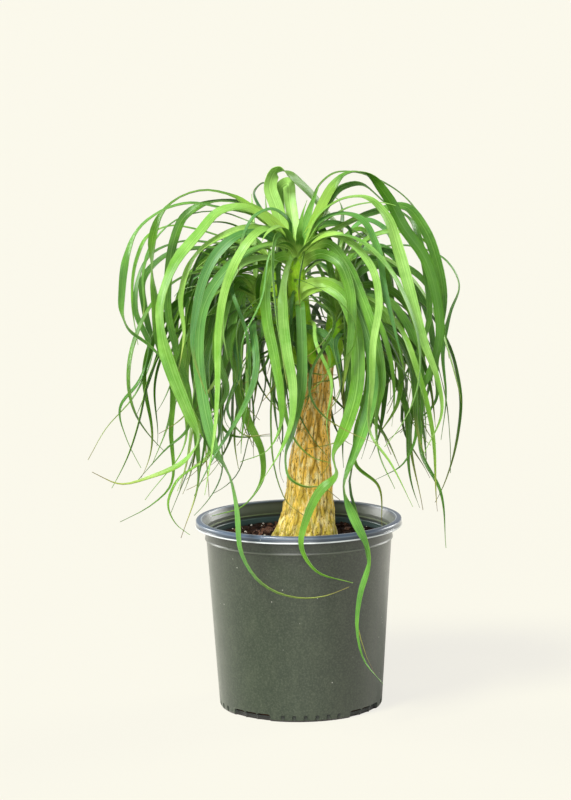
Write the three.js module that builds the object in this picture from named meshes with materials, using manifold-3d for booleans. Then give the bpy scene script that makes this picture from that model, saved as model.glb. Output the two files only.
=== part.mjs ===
// A ponytail palm in a plastic nursery pot. Millimetres, +Z up, the front faces -Y.
// The origin is the centre of the pot's flat underside.
//
// The pot is a lathe with drain cuts. The soil fills it and holds the trunk in a plain hole.
// Five leafy shoots stand in sockets at the top of the trunk. Each shoot is one solid: a stem
// with its strap leaves fused into it. Some leaves follow arches drawn by hand in the front
// view, and the rest grow by a rule with seeded draws. A leaf that would cut through another
// shoot is swung or drawn again until it hangs clear.

import * as THREE from 'three';
import { mergeVertices } from 'three/addons/utils/BufferGeometryUtils.js';
import Module from 'manifold-3d';

const wasm = await Module();
wasm.setup();

// ---------------------------------------------------------------- driving dimensions

const GAP = 0.3;                  // air left between pieces that touch
const MERGE = 1e-4;               // points nearer than this are one point

const POT = {
  height: 232,
  baseRadius: 100,
  wallTopRadius: 113.4,           // outside, just under the ridge
  bandRadius: 114.6,              // outside, between ridge and lip
  lipRadius: 127,
  lipDrop: 8.6,                   // height of the lip's outer face
  lipWidth: 8.3,                  // from the mouth to the lip's outer edge
  ridgeBelowCrest: 24,
  ledgeBelowCrest: 15,            // step inside the rim
  wall: 2.2,
  floor: 4,
  sides: 36,
};

const DRAINS = {
  groups: 4,
  firstAngle: -128,               // degrees, measured from +X towards +Y
  slotsPerGroup: 3,
  slotPitch: 10.5,                // degrees, so that a group's slots run into one opening
  slotWidth: 19.5,
  slotHeight: 9,
  slotDepth: 13,
  dimplesPerGroup: 6,
  dimplePitch: 8,                 // degrees
  dimpleWidth: 5,
  dimpleHeight: 6,
  dimpleDepth: 1.1,
};

const SOIL = { level: 205, relief: 2.4, mound: 4, rings: 5 };

// Trunk: height, centre x and y, radius. It is swollen in the soil and leans to the right.
const TRUNK_SECTIONS = [
  [148, 2, 0, 24], [168, 3, 0, 40], [190, 5, 0, 46], [207, 7, 0, 41.5], [221, 9.5, 0, 36.5],
  [240, 12.5, 0, 32], [268, 14.5, 0, 28], [302, 15.5, 0, 25.5], [338, 19, 0, 21],
  [372, 24, 0, 18.6], [402, 25, 0, 18.2], [424, 28, 0, 17.4], [438, 30, 0, 15.8], [448, 31, 0, 11],
];
const TRUNK = { sides: 18, ridgeShare: 0.05, topRise: 5 };

const STEM = { sides: 9, rings: 8, rootRadius: 5.6, crownShare: 0.72 };

// Shoots: the stem runs from the socket in the trunk over a bend to the crown. It is thickest
// half way up, where the leaf bases are packed round it.
const SHOOTS = {
  head_front: { socket: [22, -9, 424], bend: [-3, -30, 480], crown: [1, -40, 574], thick: 12 },
  head_left: { socket: [15, 3, 417], bend: [-22, 2, 440], crown: [-53, -10, 514], thick: 9.5 },
  head_back_left: { socket: [24, 10, 428], bend: [-6, 44, 452], crown: [-34, 62, 542], thick: 10 },
  head_back_right: { socket: [37, 8, 428], bend: [50, 36, 452], crown: [53, 54, 526], thick: 10 },
  head_right: { socket: [38, -7, 421], bend: [54, -16, 438], crown: [47, -20, 486], thick: 8.5 },
};

const LEAF = {
  samples: 48,
  rootShare: 0.16,                // share of a leaf where it may merge with its own shoot
  swingShare: 0.2,                // share of a leaf over which a swing sets in
  baseThickness: 1.6,
  tipThickness: 0.8,
  channel: 0.16,                  // how far the edges rise, as a share of the half width
  turnPerStation: 1.25,           // radians
  leastStations: 4,
  clearance: 0.8,
  finest: 0.01,                   // edges shorter than this are closed up
};

// The front view that the drawn leaves are laid out in: a picture plane of 571 x 800 units
// seen from a far eye. Points in it are given as [across, down].
const VIEW = {
  eye: new THREE.Vector3(-14.2, -3500, 900.4),
  aim: new THREE.Vector3(-14.2, 0, 377.5),
  focal: 2906.3,
  centre: [285.5, 400],
  roll: -0.0135,
};

// Drawn leaves. wide: blade width. toward: distance in front of the trunk's plane at the root,
// in the middle and at the tip. turn: degrees that the blade turns from facing the view,
// evenly spaced from root to tip. path: the arch in the front view.
const DRAWN_LEAVES = {
  head_front: [
    // the long leaves that hang in front of the pot
    { wide: 14, toward: [46, 150, 136], turn: [60, 55, 10, 0, 0, 10, 84, 48, 60, 60, 60], path: [
      [290, 248], [265, 246], [243, 256], [222, 275], [206, 300], [198, 350], [201, 385], [207, 420],
      [216, 450], [231, 478], [236, 498], [238, 520], [241, 550], [258, 580], [300, 598], [325, 596],
      [349, 587]] },
    { wide: 15, toward: [52, 165, 138], turn: [-40, -20, 0, 0, 0, 0, 10, 50, 84, 10, 76, 10, 20, 30, 0],
      path: [
        [303, 287], [325, 282], [349, 295], [364, 325], [373, 365], [371, 400], [363, 430], [353, 460],
        [344, 488], [353, 515], [370, 558], [360, 595], [357, 625], [364, 660], [383, 684]] },
    { wide: 17, toward: [52, 145, 136], turn: [-30, -10, 0, 0, 0, 20, 86, 10, 0, 30, 60], path: [
      [304, 292], [322, 285], [340, 294], [353, 320], [358, 355], [356, 392], [343, 435], [334, 458],
      [337, 474], [321, 490], [306, 520], [301, 545], [315, 570], [353, 583]] },
    { wide: 13, toward: [52, 120, 140], turn: [0, 0, 0, 0, 0, 20, 50, 80, 60, 60, 70], path: [
      [300, 305], [302, 350], [301, 390], [293, 430], [286, 460], [290, 478], [303, 486], [322, 487],
      [340, 500]] },
    // left side
    { wide: 19, toward: [44, 120, 110], turn: [20, 55, 64, 54, 50, 62, 56, 5, 0, 84, 30, 40, 60], path: [
      [286, 238], [262, 217], [248, 208], [222, 211], [197, 236], [172, 270], [162, 300], [162, 335],
      [172, 372], [188, 412], [199, 440], [188, 458], [150, 477], [120, 484], [92, 472]] },
    { wide: 12, toward: [42, 80, 50],
      turn: [50, 60, 74, 76, 78, 80, 78, 78, 76, 50, 0, 0, 78, 40, 30, 40, 60], path: [
        [285, 240], [252, 215], [225, 209], [190, 203.5], [160, 212], [140, 228], [127, 256], [122, 290],
        [122, 312], [128, 328], [148, 344], [165, 362], [180, 392]] },
    { wide: 11, toward: [40, 20, 10],
      turn: [10, 0, 30, 76, 85, 75, 20, 86, 30, 20, 20, 0, 0, 0, 30, 40, 60], path: [
        [284, 234], [262, 218], [235, 197], [205, 190.5], [165, 209], [153, 236], [152, 262], [155, 300],
        [158, 340], [172, 380], [171, 430], [168, 490], [150, 506], [120, 522]] },
    { wide: 11, toward: [45, 60, 60], turn: [30, 40, 60, 65, 75, 30, 10, 10, 20, 20, 10, 0, 20, 0, 30, 40, 60],
      path: [
        [285, 232], [243, 203], [208, 203], [184, 217], [174, 240], [169, 270], [168, 310], [178, 355],
        [190, 400], [188, 428], [165, 450], [138, 480]] },
    { wide: 6, toward: [40, 10, -10], turn: [50, 70, 80, 84, 84, 80, 80, 70, 40, 30, 20, 40, 60], path: [
      [282, 238], [250, 222], [215, 211.5], [188, 215], [168, 226], [150, 248], [143, 275], [144, 310],
      [135, 345]] },
    { wide: 10, toward: [46, 90, 90], turn: [20, 50, 30, 20, 50, 70, 30, 20, 0, 30, 60], path: [
      [286, 243], [268, 230], [250, 228], [222, 236], [205, 246], [190, 265], [181, 295], [184, 335],
      [178, 375]] },
    { wide: 13, toward: [47, 115, 120], turn: [10, 20, 30, 50, 20, 10, 0, 0, 20, 30, 60], path: [
      [286, 248], [262, 234], [238, 236], [218, 252], [205, 275], [196, 310], [193, 350], [206, 395]] },
    { wide: 13, toward: [48, 135, 115], turn: [60, 10, 0, 0, 0, 0, 20, 20, 60, 80, 60], path: [
      [288, 256], [277, 258], [266, 285], [267, 320], [274, 355], [281, 396], [281, 425], [268, 450],
      [240, 462]] },
    { wide: 13, toward: [48, 125, 120], turn: [40, 60, 50, 10, 0, 0, 0, 20, 20, 60, 70], path: [
      [293, 258], [286, 275], [283, 310], [286, 345], [293, 390], [291, 425], [281, 450], [262, 481]] },
    { wide: 10, toward: [50, 105, 90], turn: [40, 60, 50, 30, 10, 0, 0, 0, 40], path: [
      [284, 262], [262, 258], [240, 265], [226, 288], [222, 325], [228, 360]] },
    { wide: 6, toward: [48, 92, 90], turn: [0, 20, 0], path: [
      [286, 250], [280, 262], [280, 300], [276, 335], [262, 372]] },
    { wide: 9, toward: [50, 95, 70], turn: [0, 20, 20, 60, 70], path: [
      [292, 300], [284, 320], [280, 360], [284, 405], [294, 438], [312, 457], [331, 463]] },
    // the crown's upright leaves, folded over at the top
    { wide: 17, toward: [44, 30, -60], turn: [0, 0, 0, 30, 125, 130, 130, 130, 130], path: [
      [288, 240], [283, 225], [276, 205], [270, 185], [277, 170], [290, 174], [302, 184], [314, 196],
      [326, 211], [339, 226], [350, 250]] },
    { wide: 15, toward: [44, 40, -110], turn: [0, 0, 0, 30, 40], path: [
      [297, 240], [294, 225], [290, 200], [287, 183], [282, 186], [280, 215], [276, 260]] },
    { wide: 6, toward: [40, 20, -50], turn: [0, 10, 50, 60, 0], path: [
      [286, 240], [275, 225], [260, 208], [254, 192], [262, 183], [276, 190]] },
    { wide: 6, toward: [47, 80, 90], turn: [0, 50, 60, 30, 20], path: [
      [291, 240], [287, 218], [272, 209], [255, 216], [242, 240], [238, 275]] },
    // right side
    { wide: 14, toward: [44, 80, 90],
      turn: [0, 0, -20, -86, -150, -180, -180, -180, -180, -180, -170, -170, -180, -170], path: [
        [305, 242], [313, 225], [322, 205], [334, 185], [349, 173], [363, 173], [388, 198], [403, 226],
        [425, 258], [438, 305], [440, 335], [434, 362], [417, 402], [415, 440], [403, 464], [375, 480]] },
    { wide: 15, toward: [46, 125, 110],
      turn: [-10, -50, -80, -84, -80, -60, -40, -20, 0, 0, 0, 0, -30, -30, -20, -30, -40], path: [
        [306, 236], [325, 210], [345, 198.5], [366, 198], [386, 216], [397, 246], [407, 280], [415, 310],
        [425, 345], [437, 378], [442, 410], [424, 454]] },
    { wide: 10, toward: [42, 0, -20], turn: [0, -40, -70, -80, -82, -82, -82, -82, -82, -78, -50, -20, -20],
      path: [
        [303, 240], [306, 225], [311, 205], [320, 185], [335, 173], [352, 172], [378, 180], [400, 193],
        [418, 213], [430, 240], [438, 270]] },
    { wide: 11, toward: [44, 55, 50],
      turn: [0, -30, -50, -30, -50, -84, -84, -80, -40, -20, 0, 0, 0, 0, -30, -40, -60], path: [
        [306, 240], [318, 222], [342, 188], [358, 184], [386, 204], [412, 222], [421, 248], [428, 285],
        [428, 325], [413, 360], [387, 406]] },
    { wide: 13, toward: [45, 40, 20],
      turn: [-30, -50, -60, -60, -50, -50, -20, 0, 0, -10, -30, -60, -30, 0, 0, -40, -60], path: [
        [306, 245], [335, 230], [375, 212], [405, 207], [425, 230], [437, 262], [443, 295], [440, 330],
        [436, 365], [436, 400], [400, 433]] },
    { wide: 10, toward: [47, 105, 100], turn: [-20, -40, -60, -70, -40, -30, -30, 0, 0, -20, -50], path: [
      [306, 240], [322, 220], [340, 214], [360, 218], [376, 245], [385, 290], [396, 335], [404, 370]] },
    { wide: 9, toward: [49, 125, 120], turn: [-30, -20, 0, 0, 0, -30, -60, -20, -30], path: [
      [308, 247], [333, 234], [355, 246], [373, 270], [379, 300], [373, 345], [372, 380], [371, 435],
      [390, 462], [413, 507]] },
    { wide: 12, toward: [51, 130, 125], turn: [-20, -20, 0, 0, 0, -20, -50, -70, -30], path: [
      [307, 252], [328, 244], [344, 260], [362, 298], [376, 340], [382, 380], [376, 420], [378, 450],
      [395, 489]] },
    { wide: 13, toward: [51, 120, 110], turn: [-20, -10, 0, 0, 20], path: [
      [304, 262], [322, 254], [338, 262], [348, 283], [352, 315], [349, 350], [341, 400]] },
    // small leaves low on the stem, in front of the trunk's top
    { wide: 9, toward: [36, 56, 48], turn: [-30, 0, 0, 30], path: [
      [305, 328], [313, 330], [323, 333], [332, 343], [338, 362], [340, 392]] },
    { wide: 5, toward: [36, 60, 40], turn: [0, 60, 60], path: [
      [298, 325], [297, 350], [303, 369], [318, 374], [337, 375]] },
  ],
  head_left: [
    { wide: 14, toward: [12, 70, 80], turn: [50, 20, 0, 0, 0, 0, 60], path: [
      [252, 281], [240, 279], [229, 295], [221, 322], [217, 355], [226, 395], [215, 411], [197, 413]] },
    { wide: 11, toward: [10, 50, 60], turn: [0, 0, 10, 20, 60], path: [
      [250, 284], [243, 288], [236, 305], [231, 330], [225, 362], [196, 410]] },
    { wide: 12, toward: [12, 65, 10], turn: [0, 0, 0, 10, 20, 30, 70, 60], path: [
      [254, 286], [246, 284], [241, 310], [239, 345], [238, 385], [248, 420], [262, 452], [262, 480],
      [243, 506], [212, 516]] },
    { wide: 11, toward: [10, 40, 50], turn: [20, 0, 0, 30, 60], path: [
      [248, 290], [236, 296], [222, 318], [210, 350], [202, 395], [206, 440], [222, 468]] },
    { wide: 10, toward: [10, 20, 5], turn: [30, 0, 30, 40, 70], path: [
      [248, 286], [230, 290], [216, 312], [210, 345], [213, 400], [228, 433], [272, 436]] },
    { wide: 11, toward: [8, 10, -10], turn: [40, 20, 30, 10, 0, 30, 70, 20, 70], path: [
      [248, 282], [232, 280], [212, 295], [195, 325], [185, 365], [188, 405], [210, 452], [175, 484],
      [168, 505], [176, 524], [190, 535]] },
    { wide: 10, toward: [6, -10, -30], turn: [50, 20, 30, 50, 70], path: [
      [247, 284], [226, 284], [204, 302], [186, 335], [176, 375], [170, 418], [152, 465]] },
    { wide: 10, toward: [4, -20, -40], turn: [50, 20, 40, 20, 60, 70], path: [
      [247, 290], [226, 298], [209, 325], [200, 365], [196, 420], [198, 485], [181, 538]] },
    { wide: 8, toward: [12, 42, 60], turn: [0, 0, 30, 60, 60], path: [
      [250, 294], [240, 304], [234, 335], [240, 370], [228, 412], [245, 435], [270, 434]] },
    { wide: 7, toward: [14, 60, 60], turn: [0, 20, 0], path: [
      [257, 284], [261, 276], [264, 300], [263, 325], [252, 375]] },
  ],
  head_back_left: [
    { wide: 9, toward: [-60, -50, -20], turn: [50, 70, 78, 78, 70, 50, 20, 60, 20, 70, 70], path: [
      [262, 258], [240, 246], [212, 243], [180, 242], [152, 254], [138, 280], [136, 310], [150, 350],
      [140, 380], [120, 408], [127, 440], [141, 468]] },
    { wide: 9, toward: [-60, -80, -60], turn: [50, 60, 60, 50, 20, 10, 60, 70, 78, 70], path: [
      [262, 262], [235, 252], [200, 248], [165, 256], [143, 280], [145, 310], [152, 350], [135, 395],
      [105, 430], [88, 460]] },
    { wide: 7, toward: [-58, -30, 0], turn: [50, 70, 78, 78, 30, 20, 60], path: [
      [264, 254], [230, 240], [194, 229], [170, 226], [148, 236], [137, 258], [132, 300], [138, 345]] },
    { wide: 9, toward: [-62, -100, -90], turn: [40, 40, 30, 0, 30, 70, 70], path: [
      [262, 256], [230, 250], [200, 265], [182, 290], [175, 330], [180, 380], [186, 440], [145, 500]] },
    { wide: 8, toward: [-62, -120, -110], turn: [40, 20, 10, 30, 60, 70], path: [
      [263, 264], [245, 264], [225, 282], [212, 310], [208, 350], [212, 400], [196, 450], [170, 515]] },
  ],
  head_back_right: [
    { wide: 13, toward: [-50, -50, -10], turn: [-40, -50, -40, -20, 0], path: [
      [342, 270], [358, 254], [380, 248], [396, 258], [408, 290], [412, 330]] },
    { wide: 9, toward: [-50, -70, -50], turn: [-40, -60, -20, 0, -20], path: [
      [342, 276], [365, 270], [392, 268], [412, 288], [420, 330], [416, 380]] },
    { wide: 9, toward: [-52, -60, -50], turn: [-20, -60, -50, -20, 0, 0, -50], path: [
      [339, 262], [346, 236], [360, 229], [376, 245], [388, 280], [394, 330], [396, 390]] },
    { wide: 9, toward: [-52, -90, -80], turn: [-20, -60, -50, -20, 0, 0, -50], path: [
      [341, 262], [350, 232], [366, 220], [386, 230], [402, 270], [411, 320], [406, 400]] },
    { wide: 8, toward: [-50, -20, 0], turn: [-50, -70, -80, -80, -78, -80, -60, 0, -30, -50, -70], path: [
      [343, 268], [362, 254], [390, 246], [420, 248], [445, 260], [459, 285], [450, 312], [443, 350],
      [446, 400], [441, 440]] },
    { wide: 9, toward: [-52, -110, -90], turn: [-40, -30, 0, -20, -50, -70], path: [
      [343, 272], [365, 262], [395, 270], [420, 296], [432, 335], [431, 375], [420, 412], [388, 440]] },
  ],
  head_right: [
    { wide: 10, toward: [16, 70, 70], turn: [-20, 0, 0, 0, 60, 30, 60], path: [
      [340, 318], [350, 310], [364, 328], [370, 362], [366, 400], [356, 436], [356, 464], [378, 485],
      [382, 526]] },
    { wide: 10, toward: [16, 30, 30], turn: [-40, 0, 0, 20, 50], path: [
      [342, 314], [356, 300], [376, 306], [392, 332], [401, 368], [398, 402], [375, 440]] },
    { wide: 10, toward: [14, 20, 10], turn: [-50, -10, 0, 0, -50, -30, -70], path: [
      [342, 312], [358, 296], [386, 299], [408, 326], [420, 366], [420, 420], [421, 452], [440, 490],
      [446, 548]] },
    { wide: 10, toward: [12, 0, -10], turn: [-50, -20, 0, 0, -40, -70], path: [
      [341, 310], [352, 290], [379, 285], [405, 302], [420, 338], [419, 382], [410, 425], [423, 510]] },
    { wide: 9, toward: [16, 44, 44], turn: [-20, 0, 0, -40, -60], path: [
      [338, 322], [347, 320], [353, 346], [356, 382], [364, 408], [385, 436], [400, 468]] },
    { wide: 9, toward: [18, 60, 40], turn: [-30, 0, 0, 20, 40], path: [
      [332, 332], [340, 330], [350, 342], [352, 372], [346, 410], [338, 440]] },
  ],
};

// Leaves that grow by the rule: how many on each shoot, the middle of the sector that they
// point into (degrees from +X towards +Y), how far to each side they spread, and how far up
// the stem the lowest one sits.
const GROWN_LEAVES = {
  head_front: { count: 12, facing: 90, spread: 125, lowest: 0.6 },
  head_left: { count: 13, facing: 170, spread: 100, lowest: 0.4 },
  head_back_left: { count: 16, facing: 125, spread: 115, lowest: 0.4 },
  head_back_right: { count: 17, facing: 60, spread: 110, lowest: 0.4 },
  head_right: { count: 14, facing: 10, spread: 75, lowest: 0.4 },
};
const GROWTH = {
  seed: 20419,
  tries: 24,
  goldenAngle: 137.508,
  lowRise: 25,                    // degrees above level where an old leaf starts
  highRise: 80,                   // and a young one
  lowestPoint: 236,               // these leaves end above the pot's lip
  highestPoint: 604,              // stay below the crown's tallest leaves
  reach: 218,                     // and stay this near to the middle of the foliage
  middleX: -14,
  bend: [0.011, 0.02],            // pull towards the ground per millimetre
  length: [200, 430],
  width: [7, 13],
  curl: [-0.0035, 0.0035],        // radians sideways per millimetre
  sway: [0.002, 0.022],           // pull of the tip to one side per millimetre
  swayAngle: [-160, 160],         // degrees from the way the leaf points
  wave: [0.002, 0.014],           // pull to and fro sideways per millimetre
  waveLength: [150, 320],
  wavePhase: [0, 360],            // degrees
  twist: [-80, 80],               // degrees from root to tip
};
const SWINGS = [0, 9, -9, 18, -18, 27, -27, 36, -36, 48, -48, 60, -60, 75, -75, 90, -90];

const COLOURS = {
  pot: { color: 0x3b4740, roughness: 0.45, metalness: 0 },
  soil: { color: 0x2e211b, roughness: 1, metalness: 0 },
  trunk: { color: 0xc79a58, roughness: 0.85, metalness: 0 },
  leaf: { color: 0x4f9a2e, roughness: 0.5, metalness: 0 },
};

// ---------------------------------------------------------------- solids

function solidFrom(geometry) {
  geometry.deleteAttribute('normal');
  geometry.deleteAttribute('uv');
  const merged = mergeVertices(geometry, MERGE);
  return new wasm.Manifold(new wasm.Mesh({
    numProp: 3,
    vertProperties: new Float32Array(merged.attributes.position.array),
    triVerts: new Uint32Array(merged.index.array),
  }));
}

function geometryFrom(solid) {
  const mesh = solid.getMesh();
  const geometry = new THREE.BufferGeometry();
  geometry.setAttribute('position', new THREE.BufferAttribute(new Float32Array(mesh.vertProperties), 3));
  geometry.setIndex(new THREE.BufferAttribute(new Uint32Array(mesh.triVerts), 1));
  geometry.computeVertexNormals();
  return geometry;
}

// Keeps the main body of a solid, without loose scraps and with sealed pockets filled.
function mainBody(solid) {
  const bodies = solid.decompose();
  bodies.sort((a, b) => b.volume() - a.volume());
  return bodies[0];
}

// Closed skin over rings of points that each have the same count and run anticlockwise seen
// from the far end. The two ends close on their centres.
function loft(rings) {
  const sides = rings[0].length;
  const centre = (ring) => ring.reduce((sum, p) => sum.add(p), new THREE.Vector3()).divideScalar(sides);
  const points = rings.flat();
  const first = points.push(centre(rings[0])) - 1;
  const last = points.push(centre(rings[rings.length - 1])) - 1;
  const faces = [];
  for (let ring = 0; ring + 1 < rings.length; ring += 1) {
    for (let side = 0; side < sides; side += 1) {
      const a = ring * sides + side;
      const b = ring * sides + (side + 1) % sides;
      faces.push(a, b, b + sides, a, b + sides, a + sides);
    }
  }
  const top = (rings.length - 1) * sides;
  for (let side = 0; side < sides; side += 1) {
    const next = (side + 1) % sides;
    faces.push(first, next, side);
    faces.push(last, top + side, top + next);
  }
  return indexedGeometry(points, faces);
}

function indexedGeometry(points, faces) {
  const geometry = new THREE.BufferGeometry().setFromPoints(points);
  geometry.setIndex(faces);
  return geometry;
}

function ease(t) {
  return t * t * (3 - 2 * t);
}

// ---------------------------------------------------------------- pot

function potProfile() {
  const { height, baseRadius, wallTopRadius, bandRadius, lipRadius, lipWidth, wall, floor } = POT;
  const lipFoot = height - POT.lipDrop;
  const ridge = height - POT.ridgeBelowCrest;
  const ledge = height - POT.ledgeBelowCrest;
  const mouth = lipRadius - lipWidth;
  const corners = [
    [0, 0], [baseRadius - 1.5, 0], [baseRadius, 2.5],
    [wallTopRadius, ridge - 1], [bandRadius + 0.8, ridge], [bandRadius, ridge + 2.5],
    [bandRadius, height - 11], [bandRadius + 5.2, height - 3.6],
    [lipRadius - 2.2, height - 3.8], [lipRadius - 2.4, lipFoot], [lipRadius - 0.4, lipFoot],
    [lipRadius, height - 1.6], [lipRadius - 1.8, height], [mouth + 1.4, height],
    [mouth, height - 1.2], [bandRadius - 1.3, height - 11], [bandRadius - 1.8, ledge],
    [wallTopRadius - 2.4, ledge - 0.6], [wallTopRadius - wall - 0.3, ridge - 4],
    [baseRadius - wall, floor + 1.5], [baseRadius - wall - 1.5, floor], [0, floor],
  ];
  return corners.map(([radius, z]) => new THREE.Vector2(radius, z));
}

function radialCutter(angle, width, height, radius, depth) {
  const box = new THREE.BoxGeometry(depth, width, height);
  box.translate(radius, 0, height / 2 - 0.5);
  box.rotateZ(THREE.MathUtils.degToRad(angle));
  return solidFrom(box);
}

function makePot() {
  const shell = new THREE.LatheGeometry(potProfile(), POT.sides);
  shell.rotateX(Math.PI / 2);
  let pot = solidFrom(shell);
  const groupStep = 360 / DRAINS.groups;
  for (let group = 0; group < DRAINS.groups; group += 1) {
    const drainAngle = DRAINS.firstAngle + group * groupStep;
    for (let slot = 0; slot < DRAINS.slotsPerGroup; slot += 1) {
      const angle = drainAngle + (slot - (DRAINS.slotsPerGroup - 1) / 2) * DRAINS.slotPitch;
      const middle = POT.baseRadius + 2 - DRAINS.slotDepth / 2;
      pot = pot.subtract(
        radialCutter(angle, DRAINS.slotWidth, DRAINS.slotHeight, middle, DRAINS.slotDepth));
    }
    for (let dimple = 0; dimple < DRAINS.dimplesPerGroup; dimple += 1) {
      const offset = (dimple - (DRAINS.dimplesPerGroup - 1) / 2) * DRAINS.dimplePitch;
      const angle = drainAngle + groupStep / 2 + offset;
      const cut = 4;
      const middle = POT.baseRadius - DRAINS.dimpleDepth + cut / 2;
      pot = pot.subtract(radialCutter(angle, DRAINS.dimpleWidth, DRAINS.dimpleHeight, middle, cut));
    }
  }
  return mainBody(pot);
}

// ---------------------------------------------------------------- trunk

function trunkAt(z) {
  let i = 0;
  while (i + 2 < TRUNK_SECTIONS.length && TRUNK_SECTIONS[i + 1][0] < z) {
    i += 1;
  }
  const low = TRUNK_SECTIONS[i];
  const high = TRUNK_SECTIONS[i + 1];
  const share = (z - low[0]) / (high[0] - low[0]);
  return low.map((value, k) => value + (high[k] - value) * share);
}

// Height of each ring of the trunk, with the sections themselves among them.
function trunkHeights() {
  const heights = [];
  for (let i = 0; i + 1 < TRUNK_SECTIONS.length; i += 1) {
    const steps = i < 2 ? 1 : 2;
    for (let step = 0; step < steps; step += 1) {
      heights.push(THREE.MathUtils.lerp(TRUNK_SECTIONS[i][0], TRUNK_SECTIONS[i + 1][0], step / steps));
    }
  }
  heights.push(TRUNK_SECTIONS[TRUNK_SECTIONS.length - 1][0]);
  return heights;
}

// Corky ridges that run up the trunk and wander a little.
function barkSwell(angle, z) {
  return TRUNK.ridgeShare * (0.6 * Math.sin(5 * angle + 0.018 * z)
    + 0.4 * Math.sin(9 * angle - 0.031 * z + 1.3));
}

function makeTrunkBlank(grow) {
  const rings = trunkHeights().map((height) => {
    const [z, x, y, radius] = trunkAt(height);
    const ring = [];
    for (let side = 0; side < TRUNK.sides; side += 1) {
      const angle = 2 * Math.PI * side / TRUNK.sides;
      const r = radius * (1 + barkSwell(angle, z)) + grow;
      ring.push(new THREE.Vector3(x + r * Math.cos(angle), y + r * Math.sin(angle), z));
    }
    return ring;
  });
  const blank = loft(rings);
  const points = blank.attributes.position;
  const bottomCentre = points.count - 2;
  const topCentre = points.count - 1;
  points.setZ(bottomCentre, points.getZ(bottomCentre) - grow);
  points.setZ(topCentre, points.getZ(topCentre) + TRUNK.topRise);
  return solidFrom(blank);
}

function makeTrunk() {
  let trunk = makeTrunkBlank(0);
  for (const shoot of Object.values(SHOOTS)) {
    trunk = trunk.subtract(makeStem(shoot, GAP));
  }
  return mainBody(trunk);
}

// ---------------------------------------------------------------- soil

function soilHeight(x, y) {
  const ripple = 0.5 * Math.sin(0.11 * x + 0.7) * Math.cos(0.13 * y)
    + 0.3 * Math.sin(0.23 * x - 0.19 * y) + 0.2 * Math.cos(0.37 * x + 0.31 * y);
  const fromTrunk = Math.hypot(x - TRUNK_SECTIONS[3][1], y);
  return SOIL.level + SOIL.relief * ripple + SOIL.mound * Math.exp(-((fromTrunk / 55) ** 2));
}

function makeSoil() {
  const inside = POT.wall + GAP;
  const floorZ = POT.floor + GAP;
  const floorRadius = POT.baseRadius - inside - 2;
  const wallSlope = (POT.wallTopRadius - POT.baseRadius) / (POT.height - POT.ridgeBelowCrest);
  const wallRadius = (z) => POT.baseRadius + wallSlope * z - inside - 0.35;
  const circle = (radius, heightAt) => {
    const ring = [];
    for (let side = 0; side < POT.sides; side += 1) {
      const angle = 2 * Math.PI * side / POT.sides;
      const x = radius * Math.cos(angle);
      const y = radius * Math.sin(angle);
      ring.push(new THREE.Vector3(x, y, heightAt(x, y)));
    }
    return ring;
  };
  const rings = [circle(floorRadius, () => floorZ), circle(wallRadius(12), () => 12)];
  const edge = wallRadius(SOIL.level - SOIL.relief);
  for (let ring = SOIL.rings; ring > 0; ring -= 1) {
    rings.push(circle(edge * ring / SOIL.rings, soilHeight));
  }
  const blank = solidFrom(loft(rings));
  return mainBody(blank.subtract(makeTrunkBlank(GAP)));
}

// ---------------------------------------------------------------- stems of the shoots

function stemCurve(shoot) {
  const ends = [shoot.socket, shoot.bend, shoot.crown].map((p) => new THREE.Vector3(...p));
  return new THREE.QuadraticBezierCurve3(...ends);
}

function stemRadius(shoot, t) {
  return t < 0.5
    ? THREE.MathUtils.lerp(STEM.rootRadius, shoot.thick, ease(t / 0.5))
    : shoot.thick * THREE.MathUtils.lerp(1, STEM.crownShare, ease((t - 0.5) / 0.5));
}

function makeStem(shoot, grow) {
  const curve = stemCurve(shoot);
  const rings = [];
  for (let i = 0; i <= STEM.rings; i += 1) {
    const t = i / STEM.rings;
    const centre = curve.getPoint(t);
    const forward = curve.getTangent(t);
    const across = new THREE.Vector3(0, 1, 0).cross(forward).normalize();
    const over = forward.clone().cross(across);
    if (i === 0) {
      centre.addScaledVector(forward, -grow);
    }
    const ring = [];
    for (let side = 0; side < STEM.sides; side += 1) {
      const angle = 2 * Math.PI * side / STEM.sides;
      const radius = stemRadius(shoot, t) + grow;
      ring.push(centre.clone()
        .addScaledVector(across, radius * Math.cos(angle))
        .addScaledVector(over, radius * Math.sin(angle)));
    }
    rings.push(ring);
  }
  return solidFrom(loft(rings));
}

// ---------------------------------------------------------------- leaf paths

// Point that shows at [across, down] in the front view and lies that far in front of the trunk.
function viewPoint([across, down], toward) {
  const forward = VIEW.aim.clone().sub(VIEW.eye).normalize();
  const right = forward.clone().cross(new THREE.Vector3(0, 0, 1)).normalize();
  const up = right.clone().cross(forward);
  const rolledRight = right.clone().multiplyScalar(Math.cos(VIEW.roll))
    .addScaledVector(up, Math.sin(VIEW.roll));
  const rolledUp = up.clone().multiplyScalar(Math.cos(VIEW.roll))
    .addScaledVector(right, -Math.sin(VIEW.roll));
  const ray = forward
    .addScaledVector(rolledRight, (across - VIEW.centre[0]) / VIEW.focal)
    .addScaledVector(rolledUp, (VIEW.centre[1] - down) / VIEW.focal);
  return VIEW.eye.clone().addScaledVector(ray, (-toward - VIEW.eye.y) / ray.y);
}

function threeWay([a, b, c], t) {
  return a * (1 - t) * (1 - t) + 2 * b * t * (1 - t) + c * t * t;
}

function evenly(values, t) {
  const place = Math.min(t, 1) * (values.length - 1);
  const i = Math.min(Math.floor(place), values.length - 2);
  return values[i] + (values[i + 1] - values[i]) * ease(place - i);
}

// Running length along a row of points.
function runningLength(points) {
  const run = [0];
  for (let i = 1; i < points.length; i += 1) {
    run.push(run[i - 1] + points[i].distanceTo(points[i - 1]));
  }
  return run;
}

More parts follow.
